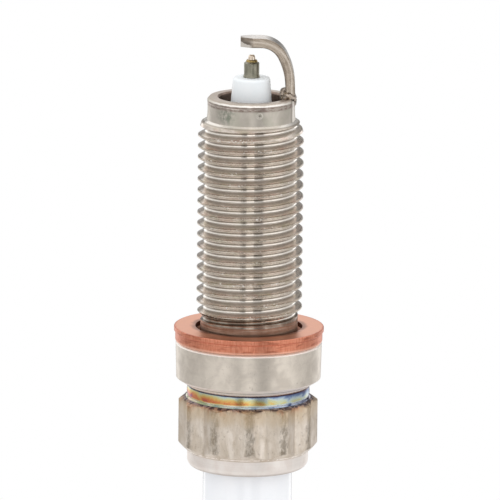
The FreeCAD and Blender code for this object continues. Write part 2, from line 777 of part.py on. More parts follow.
def draw_strap(sketch, inner, outer, end):
    """Outline of the strap from the side: up the inner side, down the outer side."""
    inner_foot, inner_knee, inner_arcs, inner_top = inner.curves()
    outer_foot, outer_knee, outer_arcs, outer_top = outer.curves()
    lower_tip = FreeCAD.Vector(end.value, inner.level.value, 0)
    upper_tip = FreeCAD.Vector(end.value, outer.level.value, 0)
    edges = [Part.LineSegment(inner_foot, inner_knee)] + inner_arcs
    edges += [Part.LineSegment(inner_top, lower_tip),
              Part.LineSegment(lower_tip, upper_tip),
              Part.LineSegment(upper_tip, outer_top)]
    edges += [outer_arcs[1], outer_arcs[0], Part.LineSegment(outer_knee, outer_foot),
              Part.LineSegment(outer_foot, inner_foot)]
    sketch.addGeometry(edges, False)
    smooth = [(0, 2, 1, 1), (1, 2, 2, 1), (2, 2, 3, 1), (5, 2, 6, 2), (6, 1, 7, 2), (7, 1, 8, 1)]
    for joint in smooth:
        sketch.addConstraint(Sketcher.Constraint("Tangent", *joint))
    for joint in [(3, 2, 4, 1), (4, 2, 5, 1), (8, 2, 9, 1), (9, 2, 0, 1)]:
        sketch.addConstraint(Sketcher.Constraint("Coincident", *joint))
    for level_edge in (3, 5, 9):
        sketch.addConstraint(Sketcher.Constraint("Horizontal", level_edge))
    sketch.addConstraint(Sketcher.Constraint("Vertical", 4))
    sketch.addConstraint(Sketcher.Constraint("Parallel", 0, 8))
    bind(sketch, "Angle", [0], "lean", strap_lean + 90)
    bind(sketch, "DistanceX", [0, 1], "inner_foot", inner.foot)
    bind(sketch, "DistanceY", [0, 1], "foot_level", reach)
    bind(sketch, "DistanceX", [8, 2], "outer_foot", outer.foot)
    bind(sketch, "Distance", [0], "inner_leg", inner.leg)
    bind(sketch, "Distance", [8], "outer_leg", outer.leg)
    bind(sketch, "Radius", [1], "inner_sweep", inner.sweep)
    bind(sketch, "Radius", [2], "inner_bend", inner.bend)
    bind(sketch, "Radius", [6], "outer_bend", outer.bend)
    bind(sketch, "Radius", [7], "outer_sweep", outer.sweep)
    bind(sketch, "DistanceY", [3, 2], "underside", inner.level)
    bind(sketch, "DistanceY", [5, 1], "top", outer.level)
    bind(sketch, "DistanceX", [4, 1], "end", end)


inner_side = StrapSide(foot_inner, strap_leg, strap_sweep, strap_bend, strap_underside)
outer_side = inner_side.offset(strap_thickness)
strap_end = -strap_overhang
core_inner_side = inner_side.offset(strap_core_wall)
core_outer_side = outer_side.offset(-strap_core_wall)
core_end = strap_end + strap_core_end
core_width = strap_width - strap_core_side * 2


def extrude_both_ways(body, kind, sketch, name, width):
    """Pad or pocket a side-view sketch by half the width to each side."""
    feature = body.newObject("PartDesign::" + kind, name)
    feature.Profile = sketch
    feature.Midplane = True
    feature.setExpression("Length", width.formula)
    document.recompute()
    return feature


def taper_strap_end(body):
    """Cut both sides of the end back to a narrow tip."""
    side = strap_width * half
    tip_side = strap_tip_width * half
    beyond = strap_end - strap_edge
    plane = strap_top + strap_edge
    sketch = add_sketch(body, "tip_side_outline", "XY_Plane", plane)
    draw_outline(sketch, [
        (strap_taper_start, side),
        (strap_end, tip_side),
        (beyond, tip_side),
        (beyond, side + strap_edge),
        (strap_taper_start, side + strap_edge),
    ])
    cut = body.newObject("PartDesign::Pocket", "tip_side")
    cut.Profile = sketch
    cut.setExpression("Length", (strap_thickness + strap_edge * 2).formula)
    document.recompute()
    other = body.newObject("PartDesign::Mirrored", "tip_sides")
    other.Originals = [cut]
    other.MirrorPlane = (origin_plane(body, "XZ_Plane"), [""])
    body.Tip = other
    document.recompute()


def long_edges(shape):
    """Edges of the strap's two sides, all but those at its foot."""
    names = []
    side = strap_width.value * half
    near = 0.001
    for number, edge in enumerate(shape.Edges, start=1):
        ends = [vertex.Point for vertex in edge.Vertexes]
        on_side = all(abs(abs(point.y) - side) < near for point in ends)
        same_side = abs(ends[0].y - ends[-1].y) < near
        at_foot = all(abs(point.z - reach.value) < near for point in ends)
        upright = abs(ends[0].x - ends[-1].x) < near and abs(ends[0].z - ends[-1].z) > near
        at_taper = upright and abs(ends[0].x - strap_taper_start.value) < near
        if on_side and same_side and not at_foot and not at_taper:
            names.append(f"Edge{number}")
    return names


def make_ground_electrode():
    """Nickel-alloy strap welded on the rim and bent over the tip, hollow for its core."""
    body = new_body("ground_electrode")
    sketch = add_sketch(body, "strap_outline")
    draw_strap(sketch, inner_side, outer_side, strap_end)
    extrude_both_ways(body, "Pad", sketch, "strap", strap_width)
    taper_strap_end(body)
    dress(body, "Fillet", "strap_edges", long_edges(body.Tip.Shape), strap_edge)
    core_sketch = add_sketch(body, "core_hole_outline")
    draw_strap(core_sketch, core_inner_side, core_outer_side, core_end)
    extrude_both_ways(body, "Pocket", core_sketch, "core_hole", core_width)
    pad_radius = pad_diameter * half
    revolve(body, "Groove", "pad_recess", [
        (0, pad_face),
        (pad_radius + seat_gap, pad_face),
        (pad_radius + seat_gap, pad_face + pad_thickness),
        (0, pad_face + pad_thickness),
    ])
    return body


def make_ground_electrode_core():
    """Copper core that carries heat from the strap's bend to the shell."""
    body = new_body("ground_electrode_core")
    sketch = add_sketch(body, "strap_core_outline")
    draw_strap(sketch, core_inner_side, core_outer_side, core_end)
    extrude_both_ways(body, "Pad", sketch, "strap_core", core_width)
    return body


def make_ground_electrode_pad():
    return turned_body("ground_electrode_pad", [
        (0, 0),
        (pad_diameter * half, 0),
        (pad_diameter * half, pad_thickness),
        (0, pad_thickness),
    ], pad_face)


def rectangle(inner, outer, side):
    return [(inner, -side), (outer, -side), (outer, side), (inner, side)]


def make_ground_electrode_weld(strap, core):
    """Upset metal squeezed out round the foot when the strap is welded to the rim."""
    blank = new_body("weld_blank")
    strap_side = strap_width * half
    strap_shift = weld_height * tangent(strap_lean)
    low = add_sketch(blank, "weld_foot_outline", "XY_Plane", reach)
    draw_outline(low, rectangle(foot_inner - weld_inner_margin,
                                foot_outer + weld_outer_margin,
                                strap_side + weld_side_margin))
    high = add_sketch(blank, "weld_top_outline", "XY_Plane", reach + weld_height)
    draw_outline(high, rectangle(foot_inner - strap_shift - weld_top_margin,
                                 foot_outer - strap_shift + weld_top_margin,
                                 strap_side + weld_top_margin))
    loft = blank.newObject("PartDesign::AdditiveLoft", "weld_loft")
    loft.Profile = low
    loft.Sections = [high]
    loft.Ruled = True
    document.recompute()
    shape = blank
    for name, tool in (("weld_less_strap", strap), ("ground_electrode_weld", core)):
        cut = document.addObject("Part::Cut", name)
        cut.Base = shape
        cut.Tool = tool
        shape = cut
    shape.Label = "ground_electrode_weld"
    document.recompute()
    return shape


# ---------------------------------------------------------------- seals, resistor, stud, nut

lower_seal_top = head_base - seat_gap
lower_seal_base = lower_seal_top - lower_seal_length
resistor_top = lower_seal_base - seat_gap
upper_seal_top = resistor_top - resistor_length - seat_gap
upper_seal_base = upper_seal_top - upper_seal_length
stud_shoulder = upper_seal_base - seat_gap
stud_key_top = stud_shoulder + stud_key_length
nut_seat = terminal_seat - stud_collar_height - sliding_gap
stud_end = terminal_seat - stud_collar_height - stud_thread_length


def make_lower_glass_seal():
    """Conductive glass fused round the key of the centre electrode."""
    hole = key_radius + seat_gap
    return turned_body("lower_glass_seal", [
        (0, lower_seal_base),
        (filling_radius, lower_seal_base),
        (filling_radius, lower_seal_top),
        (hole, lower_seal_top),
        (hole, key_base - seat_gap),
        (0, key_base - seat_gap),
    ])


def make_suppressor_resistor():
    return turned_body("suppressor_resistor", [
        (0, 0),
        (filling_radius, 0),
        (filling_radius, resistor_length),
        (0, resistor_length),
    ], resistor_top - resistor_length)


def make_upper_glass_seal():
    """Conductive glass fused round the knurled end of the stud."""
    hole = stud_key_radius + seat_gap
    return turned_body("upper_glass_seal", [
        (0, stud_key_top + seat_gap),
        (hole, stud_key_top + seat_gap),
        (hole, upper_seal_base),
        (filling_radius, upper_seal_base),
        (filling_radius, upper_seal_top),
        (0, upper_seal_top),
    ])


def make_terminal_stud():
    """Steel stud: key in the glass, shaft, collar on the insulator and M4 end."""
    collar = stud_collar_diameter * half
    screw = stud_thread_diameter * half
    collar_top = terminal_seat - seat_gap
    collar_foot = terminal_seat - stud_collar_height
    body = turned_body("terminal_stud", [
        (0, stud_key_top),
        (stud_key_radius, stud_key_top),
        (stud_key_radius, stud_shoulder),
        (stud_radius, stud_shoulder),
        (stud_radius, collar_top),
        (collar, collar_top),
        (collar, collar_foot),
        (screw, collar_foot),
        (screw, stud_end),
        (0, stud_end),
    ])
    dress_rings(body, "Chamfer", "stud_edges", [(screw, stud_end), (collar, collar_foot)],
                stud_chamfer)
    return body


def make_terminal_nut():
    """Waisted terminal that screws on to the stud."""
    bore = stud_thread_diameter * half + sliding_gap
    barrel = nut_diameter * half
    neck = bore + nut_neck_wall
    head_top_level = -(nut_length - nut_head_height)
    body = turned_body("terminal_nut", [
        (bore, 0),
        (barrel, 0),
        (barrel, -nut_base_height),
        (neck, -nut_base_height - nut_neck_slope),
        (neck, head_top_level + nut_neck_slope),
        (barrel, head_top_level),
        (barrel, -nut_length),
        (bore, -nut_length),
    ], nut_seat)
    dress_rings(body, "Fillet", "nut_end", [(barrel, -nut_length)], nut_rounding)
    dress_rings(body, "Chamfer", "nut_mouths",
                [(bore, 0), (bore, -nut_length), (barrel, 0)], nut_chamfer)
    return body


# ---------------------------------------------------------------- assembly and output

def make_all():
    """Every sub-part of the plug, from the firing end to the terminal."""
    strap = make_ground_electrode()
    strap_core = make_ground_electrode_core()
    return [
        strap,
        strap_core,
        make_ground_electrode_pad(),
        make_ground_electrode_weld(strap, strap_core),
        make_center_electrode(),
        make_center_electrode_core(),
        make_center_electrode_tip(),
        make_center_tip_weld(),
        make_insulator(),
        make_metal_shell(),
        make_sealing_gasket(),
        make_lower_packing_washer(),
        make_packing_ring("lower_packing_ring", lower_ring_height),
        make_talc_filling(),
        make_packing_ring("upper_packing_ring", upper_ring_height),
        make_lower_glass_seal(),
        make_suppressor_resistor(),
        make_upper_glass_seal(),
        make_terminal_stud(),
        make_terminal_nut(),
    ]


def check(parts):
    """Stop if any object failed, or if a sub-part isn't one valid solid."""
    document.recompute()
    for item in document.Objects:
        if "Invalid" in item.State or "Error" in item.State:
            raise RuntimeError(f"{item.Label}: {item.State}")
    for part in parts:
        shape = part.Shape
        if shape.isNull() or not shape.isValid() or len(shape.Solids) != 1:
            raise RuntimeError(f"{part.Label}: not one valid solid")


parts = make_all()
check(parts)
os.makedirs("parts", exist_ok=True)
for part in parts:
    part.Shape.exportStep(f"parts/{part.Label}.step")
    box = part.Shape.BoundBox
    print(f"{part.Label:24s} {part.Shape.Volume:10.4f} mm3   z {box.ZMin:8.3f} to {box.ZMax:8.3f}")
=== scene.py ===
# %% [markdown]
# # A spark plug, piece by piece
# The plug stands on its terminal with the firing end up, in metres, with the origin in
# the outer face of the copper gasket. Its shape comes packed from the CAD side, so this
# lesson is mostly about finishes: satin nickel, copper, heat tints and white ceramic.
# Three pieces are built here, because they need a form that the plain solids don't have:
# the rough weld bead at the foot of the ground electrode, its lip, and the threaded stud.

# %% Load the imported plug
import math
from collections import namedtuple

import bpy
import numpy as np
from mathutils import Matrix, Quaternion, Vector


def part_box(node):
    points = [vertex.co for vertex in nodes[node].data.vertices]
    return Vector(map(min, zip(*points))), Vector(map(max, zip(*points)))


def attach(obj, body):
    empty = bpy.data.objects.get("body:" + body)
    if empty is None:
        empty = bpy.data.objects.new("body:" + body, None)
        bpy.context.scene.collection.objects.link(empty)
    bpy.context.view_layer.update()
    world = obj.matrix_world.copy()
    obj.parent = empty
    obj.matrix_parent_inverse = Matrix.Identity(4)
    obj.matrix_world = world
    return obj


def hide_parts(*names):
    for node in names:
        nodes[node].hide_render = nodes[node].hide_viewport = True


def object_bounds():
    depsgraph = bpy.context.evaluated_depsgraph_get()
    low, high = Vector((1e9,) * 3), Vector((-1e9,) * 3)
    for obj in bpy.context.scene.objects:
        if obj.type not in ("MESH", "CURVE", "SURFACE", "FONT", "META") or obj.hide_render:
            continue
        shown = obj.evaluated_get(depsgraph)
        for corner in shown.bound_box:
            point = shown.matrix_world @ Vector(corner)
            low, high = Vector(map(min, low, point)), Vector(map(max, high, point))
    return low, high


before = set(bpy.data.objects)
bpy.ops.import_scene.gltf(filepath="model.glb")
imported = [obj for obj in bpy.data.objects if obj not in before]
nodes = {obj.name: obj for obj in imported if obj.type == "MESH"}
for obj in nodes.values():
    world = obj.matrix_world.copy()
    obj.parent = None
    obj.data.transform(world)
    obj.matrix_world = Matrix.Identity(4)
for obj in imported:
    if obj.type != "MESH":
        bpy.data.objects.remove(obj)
scene = bpy.context.scene
cad_low, cad_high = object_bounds()
MM = 0.001


def add_object(name, data):
    """Put an object with this mesh, lamp or camera into the scene."""
    thing = bpy.data.objects.new(name, data)
    scene.collection.objects.link(thing)
    return thing


def in_mm(corners):
    """The corners of a box, from metres to millimetres."""
    return np.array(corners) / MM


print("pieces:", len(nodes), "height in mm:", round((cad_high.z - cad_low.z) / MM, 2))

# %% [markdown]
# ## The camera
# A long lens far away keeps the plug's sides parallel. The camera looks along +Y and 12
# degrees down, at a point on the axis inside the thread. It is rolled by a little over
# half a degree, so the plug seems to lean while it stays upright in its own frame.

# %% Camera
LENS = 800.0
SENSOR = 36.0
VIEW_WIDTH = 55.6 * MM
LOOK_AT = np.array([0.03, 0.0, 8.6]) * MM
ELEVATION = math.radians(12.0)
ROLL = math.radians(0.62)

distance = VIEW_WIDTH * LENS / SENSOR
camera_data = bpy.data.cameras.new("catalogue_camera")
camera_data.lens = LENS
camera_data.sensor_width = SENSOR
camera_data.clip_start = distance * 0.2
camera_data.clip_end = distance * 20
camera = add_object("catalogue_camera", camera_data)
camera.location = (LOOK_AT[0], -distance * math.cos(ELEVATION),
                   LOOK_AT[2] + distance * math.sin(ELEVATION))
camera.rotation_mode = "QUATERNION"
level = Quaternion((1, 0, 0), math.pi / 2 - ELEVATION)
camera.rotation_quaternion = level @ Quaternion((0, 0, 1), ROLL)
scene.camera = camera
scene.view_settings.view_transform = "Standard"
print("camera distance in mm:", round(distance / MM, 1))

# %% [markdown]
# ## A short hand for shader nodes
# A procedural material is arithmetic on the place of a point, and it reads best as
# formulas. `Wiring` wraps a node tree: each call adds nodes and returns their output, so
# `w.math("MULTIPLY", height, 2)` is a line of arithmetic that happens to be a node. A
# mask is a number from 0 to 1 that says how much of a mark a point carries, and `paint`
# lays one colour over another through such masks.

# %% Wiring
class Wiring:
    """A node tree in the making. Arguments are plain numbers, colours or sockets."""

    def __init__(self, tree):
        self.tree = tree

    def plug_in(self, socket, value):
        """Link a socket to an input, or set the input to a plain value."""
        if isinstance(value, bpy.types.NodeSocket):
            self.tree.links.new(value, socket)
        else:
            socket.default_value = value

    def feed(self, sockets, **values):
        """Plug in several inputs, with _ for the spaces in their names."""
        for name, value in values.items():
            self.plug_in(sockets[name.replace("_", " ")], value)

    def node(self, kind, inputs=(), **settings):
        """Add a shader node; inputs maps names or numbers of its inputs to values."""
        made = self.tree.nodes.new("ShaderNode" + kind)
        for name, value in settings.items():
            setattr(made, name, value)
        for name, value in dict(inputs).items():
            self.plug_in(made.inputs[name], value)
        return made

    def first(self, kind, inputs=(), **settings):
        """Add a node and return its first output."""
        return self.node(kind, inputs, **settings).outputs[0]

    def math(self, operation, *values, clamp=False):
        """One step of arithmetic with numbers, such as ADD or SINE."""
        return self.first("Math", enumerate(values), operation=operation,
                          use_clamp=clamp)

    def add(self, first, second):
        """first plus second."""
        return self.math("ADD", first, second)

    def minus(self, first, second):
        """first less second."""
        return self.math("SUBTRACT", first, second)

    def vector(self, operation, *values):
        """One step of arithmetic with vectors; LENGTH gives a number."""
        made = self.node("VectorMath", enumerate(values), operation=operation)
        return made.outputs["Value" if operation == "LENGTH" else 0]

    def times(self, vector, scales):
        """Stretch a vector by three numbers, one for each of x, y and z."""
        return self.vector("MULTIPLY", vector, scales)

    def distance(self, vector, centre):
        """How far a place is from a centre, given as three numbers."""
        return self.vector("LENGTH", self.vector("SUBTRACT", vector, centre))

    def parts(self, vector):
        """The x, y and z of a vector."""
        return self.node("SeparateXYZ", {0: vector}).outputs

    def join(self, x, y, z):
        """A vector from its x, y and z."""
        return self.first("CombineXYZ", {0: x, 1: y, 2: z})

    def linear(self, value, slope, start, clamp=False):
        """slope times value plus start."""
        return self.math("MULTIPLY_ADD", value, slope, start, clamp=clamp)

    def progress(self, value, start, end):
        """How far a value has come on its way: 0 at start, 1 at end."""
        return self.linear(value, 1 / (end - start), -start / (end - start))

    def span(self, value, low, high):
        """Map 0...1 on to low...high."""
        return self.first("MapRange", {"Value": value, "To Min": low, "To Max": high})

    def band(self, value, start, end):
        """0 before start, 1 after end, and a smooth step between them."""
        return self.first("MapRange", {"Value": value, "From Min": start,
                          "From Max": end}, interpolation_type="SMOOTHSTEP")

    def near(self, value, centre, reach, core):
        """A thin line: 1 within core of the centre, 0 beyond reach of it."""
        away = self.math("ABSOLUTE", self.minus(value, centre))
        return self.band(away, reach, core)

    def both(self, mask, *masks):
        """The product of masks: 1 only where all are 1. A plain number thins it out."""
        for other in masks:
            mask = self.math("MULTIPLY", mask, other)
        return mask

    def noise(self, place, scale, detail=3.0, roughness=0.55, distortion=0.0, upward=1.0):
        """Random clouds, about 0.5. upward is how fast they change along the axis."""
        if upward != 1.0:
            place = self.times(place, (1.0, 1.0, upward))
        return self.first("TexNoise", {
            "Vector": place, "Scale": scale, "Detail": detail, "Roughness": roughness,
            "Distortion": distortion})

    def ramp(self, factor, stops, interpolation="LINEAR"):
        """A curve through (place from 0 to 1, grey level or colour) pairs."""
        made = self.node("ValToRGB", {0: factor})
        curve = made.color_ramp
        curve.interpolation = interpolation
        while len(curve.elements) > 1:
            curve.elements.remove(curve.elements[-1])
        curve.elements[0].position = stops[0][0]
        for place, _ in stops[1:]:
            curve.elements.new(place)
        for element, (_, level) in zip(curve.elements, stops):
            element.color = level if isinstance(level, tuple) else (level,) * 3 + (1,)
        return made.outputs[0]

    def mix(self, factor, first, second, way="MIX"):
        """Blend two colours; way can be MULTIPLY, SCREEN and so on."""
        return self.node("Mix", {0: factor, 6: first, 7: second},
                         data_type="RGBA", blend_type=way).outputs[2]

    def paint(self, base, *layers):
        """Lay shades over a colour, in this order: each is (shade, mask, mask, ...)."""
        for shade, *masks in layers:
            base = self.mix(self.both(*masks), base, colour(*shade))
        return base

    def bump(self, height, depth, normal=None):
        """Tilt the normal as a relief this many millimetres deep would."""
        inputs = {"Height": height, "Distance": depth * MM}
        if normal is not None:
            inputs["Normal"] = normal
        return self.first("Bump", inputs)

    def group(self, group, **inputs):
        """Place a shared group, with _ for spaces in names; gives its outputs by name."""
        made = self.node("Group", node_tree=group)
        self.feed(made.inputs, **inputs)
        return {socket.name: socket for socket in made.outputs}


def colour(red, green, blue):
    """A colour as a screen shows it, 0 to 255, turned into the linear light of shaders."""
    levels = np.array([red, green, blue]) / 255
    linear = np.where(levels <= 0.04045, levels / 12.92, ((levels + 0.055) / 1.055) ** 2.4)
    return (*linear.tolist(), 1.0)


# %% Shared groups and materials
KINDS = {"Place": "NodeSocketVector", "Direction": "NodeSocketVector",
         "Bare": "NodeSocketColor", "Colour": "NodeSocketColor"}


def new_group(name, inputs, outputs):
    """A shader node group. The name of a socket tells its kind, and most are numbers."""
    tree = bpy.data.node_groups.new(name, "ShaderNodeTree")
    for side, labels in (("INPUT", inputs), ("OUTPUT", outputs)):
        for label in labels:
            tree.interface.new_socket(label, in_out=side,
                                      socket_type=KINDS.get(label, "NodeSocketFloat"))
    given = tree.nodes.new("NodeGroupInput").outputs
    result = tree.nodes.new("NodeGroupOutput").inputs
    return tree, Wiring(tree), given, result


def new_material(name, metallic, ior=1.5):
    """A material with its shader, and the place of each point in millimetres."""
    material = bpy.data.materials.new(name)
    material.use_nodes = True
    w = Wiring(material.node_tree)
    shader = material.node_tree.nodes["Principled BSDF"]
    shader.inputs["Metallic"].default_value = metallic
    shader.inputs["IOR"].default_value = ior
    place = w.times(w.node("TexCoord").outputs["Object"], (1 / MM,) * 3)
    return material, w, shader.inputs, place


# %% [markdown]
# ## Light and surroundings
# Polished metal has hardly a look of its own: it shows the room. This plug stands between
# white panels, with a dark gap on each side of the lens, and those gaps make the upright
# dark lines that tell the eye "round and shiny". One group gives the room's brightness by
# compass direction: a panel is (degrees, brightness), 0 degrees is towards the camera and
# positive is to its right. Low panels light upright walls, high ones the faces that look
# up. Only reflections see them: the camera itself sees plain white.

# %% Room brightness by direction
room, w, given, result = new_group("room_brightness", ["Direction"], ["Brightness"])
x, y, z = w.parts(given["Direction"])
compass = w.math("ARCTAN2", x, w.math("MULTIPLY", y, -1))
around = w.linear(compass, 1 / math.tau, 0.5)
WHITE = (1, 1, 1, 1)
PANEL_LIGHT = 1.3
CEILING = 0.88
low_panels = [(-180, 0.3), (-164, 0.3), (-159, 1.0), (-143, 1.0), (-137, 0.62), (-95, 0.45),
              (-60, 0.62), (-25, 0.82), (-20, 0.24), (-10, 0.24), (-7, 1.0), (9, 1.0),
              (12, 0.22), (33, 0.22), (36, 0.85), (62, 0.84), (95, 0.52), (135, 0.56),
              (142, 1.0), (158, 1.0), (163, 0.2), (180, 0.2)]
high_panels = [(-180, 0.95), (-176, 0.95), (-172, 0.15), (-164, 0.15), (-160, 0.9),
               (-90, 0.75), (-20, 0.6), (20, 0.6), (90, 0.7), (142, 0.6), (150, 0.15),
               (168, 0.15), (175, 0.95), (180, 0.95)]
low, high = (w.ramp(around, [(turn / 360 + 0.5, bright) for turn, bright in panels])
             for panels in (low_panels, high_panels))
steep = w.math("DIVIDE", z, w.vector("LENGTH", given["Direction"]))
level = w.mix(w.band(steep, 0.1, 0.2), low, high)
level = w.mix(w.band(steep, 0.4, 0.85), level, (CEILING, CEILING, CEILING, 1))
w.feed(result, Brightness=w.math("MULTIPLY", level, PANEL_LIGHT))

# %% World
def looks(w):
    """Which rays come from the camera, and which are reflections."""
    rays = w.node("LightPath").outputs
    mirrored = w.math("MAXIMUM", rays["Is Glossy Ray"], rays["Is Transmission Ray"])
    return rays["Is Camera Ray"], mirrored


ROOM_LIGHT = 1.06
world = bpy.data.worlds.new("white_room")
scene.world = world
world.use_nodes = True
w = Wiring(world.node_tree)
direction = w.node("TexCoord").outputs["Generated"]
by_camera, mirrored = looks(w)
room_light = w.group(room, Direction=direction)["Brightness"]
soft = w.mix(mirrored, (ROOM_LIGHT, ROOM_LIGHT, ROOM_LIGHT, 1), room_light)
w.feed(world.node_tree.nodes["Background"].inputs, Color=w.mix(by_camera, soft, WHITE))

# %% [markdown]
# ## The floor
# The floor is pale and takes the plug's shadow near its foot. Further out it turns as
# white as the room, so there is no horizon. From below it lets the eye through, and a
# hole under the hollow terminal lets light in there. The plug stands on its terminal nut,
# so the floor sinks with the nut as it is unscrewed.

# %% Floor
HALF_FLOOR = 1.5
SUNK = 0.02 * MM
HOLE_RADIUS = 2.7 * MM
FADE_START, FADE_END = 40 * MM, 130 * MM
floor_mesh = bpy.data.meshes.new("floor")
floor_mesh.from_pydata([(x * HALF_FLOOR, y * HALF_FLOOR, cad_low.z + SUNK)
                        for x, y in ((-1, -1), (1, -1), (1, 1), (-1, 1))],
                       [], [(0, 1, 2, 3)])
floor = add_object("floor", floor_mesh)
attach(floor, "terminal_nut")

# %% [markdown]
# It is paper near the plug. Further out it glows: like the room in a reflection, and
# white to the camera.

# %% Floor paper
floor_paint = bpy.data.materials.new("floor_paper")
floor_paint.use_nodes = True
w = Wiring(floor_paint.node_tree)
tree_nodes = floor_paint.node_tree.nodes
tree_nodes.remove(tree_nodes["Principled BSDF"])
place = w.node("TexCoord").outputs["Object"]
by_camera, mirrored = looks(w)
x, y, z = w.parts(place)
sideways = w.join(x, y, 0.0)
from_axis = w.vector("LENGTH", sideways)
far = w.band(from_axis, FADE_START, FADE_END)
glow = w.mix(mirrored, WHITE, w.group(room, Direction=sideways)["Brightness"])
paper = w.first("BsdfDiffuse", {"Color": colour(236, 236, 236)})
white = w.first("Emission", {"Color": glow})
share = w.both(w.math("MAXIMUM", by_camera, mirrored), far)
lit = w.first("MixShader", {0: share, 1: paper, 2: white})
clear = w.first("BsdfTransparent")
under = w.node("NewGeometry").outputs["Backfacing"]
open_hole = w.math("LESS_THAN", from_axis, HOLE_RADIUS)
see_through = w.math("MAXIMUM", under, open_hole)
surface = w.first("MixShader", {0: see_through, 1: lit, 2: clear})
w.feed(tree_nodes["Material Output"].inputs, Surface=surface)
floor_mesh.materials.append(floor_paint)

# %% [markdown]
# ## Lamps
# Two soft lamps give the plug a light and a dark side. Sizes and places are in metres, and
# power is in watts.

# %% Panel lamps
def panel_light(name, place, size, power):
    """A soft rectangle of light, some way off, aimed at the thread."""
    data = bpy.data.lights.new(name, "AREA")
    data.shape = "RECTANGLE"
    data.size, data.size_y = size
    data.energy = power
    light = add_object(name, data)
    light.location = place
    light.rotation_mode = "QUATERNION"
    light.rotation_quaternion = Vector(LOOK_AT - np.array(place)).to_track_quat("-Z", "Y")


panel_light("right_panel", place=(0.42, -0.12, 0.30), size=(0.30, 0.40), power=0.12)
panel_light("top_strip", place=(0.0, -0.30, 0.45), size=(0.07, 0.30), power=0.12)

# %% [markdown]
# ## Where a point is on the plug
# Nearly every mark on a plug was made by turning: it goes round the axis, or along it.
# This group turns the place of a point into the words a turner would use: its height, its
# radius, and its turn round the axis, which is 0 at the front and grows to the right.

# %% Place on the plug
turner, w, given, result = new_group(
    "place_on_plug", ["Place"], ["Height", "Radius", "Turn"])
x, y, z = w.parts(given["Place"])
w.feed(result, Height=z, Radius=w.vector("LENGTH", w.join(x, y, 0.0)),
       Turn=w.math("ARCTAN2", x, w.math("MULTIPLY", y, -1)))

# %% [markdown]
# ## Marks that several finishes share
# - turned lines: the fine rings that a cutting tool leaves,
# - clouds: slow changes of tone in a plating,
# - nicks: the short bright and dark scratches of parts tumbled together,
# - temper colours: the film of oxide that heat grows on steel and nickel. Its colour
#   depends only on its thickness, so one ramp serves the whole heated zone.

# %% Turned lines
turned, w, given, result = new_group(
    "turned_lines", ["Place", "Lines per mm"], ["Relief"])
place = w.group(turner, Place=given["Place"])
across = w.math("MULTIPLY", place["Height"], given["Lines per mm"])
inward = w.math("MULTIPLY", place["Radius"], given["Lines per mm"])
slow = w.times(given["Place"], (0.12, 0.12, 0.0))
rings = w.vector("ADD", w.join(0.0, inward, across), slow)
w.feed(result, Relief=w.noise(rings, 1.0, 2.0, 0.6))

# %% Clouds
clouds, w, given, result = new_group("clouds", ["Place", "Size mm", "Stretch"], ["Tone"])
x, y, z = w.parts(given["Place"])
stretched = w.join(x, y, w.math("DIVIDE", z, given["Stretch"]))
scale = w.math("DIVIDE", 1.0, given["Size mm"])
w.feed(result, Tone=w.band(w.noise(stretched, scale, 4.0, 0.6, 0.4), 0.3, 0.7))

# %% Nicks
nicks, w, given, result = new_group(
    "nicks", ["Place", "Per mm", "Share"], ["Mark", "Relief"])
wander = w.noise(given["Place"], 1.3, 1.0)
skewed = w.vector("ADD", w.times(given["Place"], (1.0, 1.0, 0.45)),
                  w.join(wander, wander, 0.0))
grain = w.noise(skewed, given["Per mm"], 2.0, 0.7, 1.6)
level = w.add(0.24, given["Share"])
relief = w.band(grain, w.minus(level, 0.06), level)
w.feed(result, Mark=w.minus(1.0, relief), Relief=relief)

# %% Temper colours
temper, w, given, result = new_group("temper_colours", ["Film", "Bare"], ["Colour"])
films = [(0.00, (216, 204, 192)), (0.10, (210, 190, 160)), (0.20, (198, 164, 118)),
         (0.29, (158, 108, 80)), (0.36, (104, 66, 92)), (0.43, (66, 66, 104)),
         (0.51, (116, 140, 176)), (0.58, (196, 208, 212)), (0.66, (196, 206, 166)),
         (0.74, (222, 190, 112)), (0.83, (214, 138, 84)), (0.91, (196, 92, 84)),
         (1.00, (120, 84, 128))]
tint = w.ramp(given["Film"], [(thickness, colour(*shade)) for thickness, shade in films],
              "B_SPLINE")
w.feed(result, Colour=w.mix(w.band(given["Film"], 0.0, 0.08), given["Bare"], tint))

# %% [markdown]
# ## Wear
# Edges that stand out are rubbed first, and the bottoms of grooves never. `worn_rim`
# finds what stands further from the axis than a given radius, and breaks it up with
# short scratches, so the mask never ends in a clean line. It serves the thread crests and
# the corners of the bi-hexagon.

# %% Worn rim
worn_rim, w, given, result = new_group(
    "worn_rim", ["Place", "From radius", "Depth", "Share", "Along", "Per mm"],
    ["Rim", "Mask"])
spot = w.group(turner, Place=given["Place"])
inner = w.minus(given["From radius"], given["Depth"])
proud = w.band(spot["Radius"], inner, given["From radius"])
x, y, z = w.parts(given["Place"])
drawn_out = w.join(x, y, w.math("MULTIPLY", z, given["Along"]))
speckle = w.noise(drawn_out, given["Per mm"], 3.0, 0.7, 0.8)
level = w.minus(0.62, w.math("MULTIPLY", given["Share"], 0.3))
scraped = w.band(speckle, level, w.add(level, 0.12))
w.feed(result, Rim=proud, Mask=w.both(proud, scraped))

# %% [markdown]
# ## Satin nickel
# The shell is cold-formed steel with a thin nickel plate. The plate is one thing, but
# each region shows it differently: tumbled on the band and the bi-hexagon, rolled on the
# thread, turned on the nose and shank. One function makes the plate and takes the
# strength of each mark. It hands back all it made, so that a region can add marks of its
# own, and the shell's faces are sorted by where they lie at the end.

# %% Nickel plate
NICKS_PER_MM = 3.2
BLACK = (0, 0, 0)
Finish = namedtuple("Finish", "material w shader place spot base rough normal")


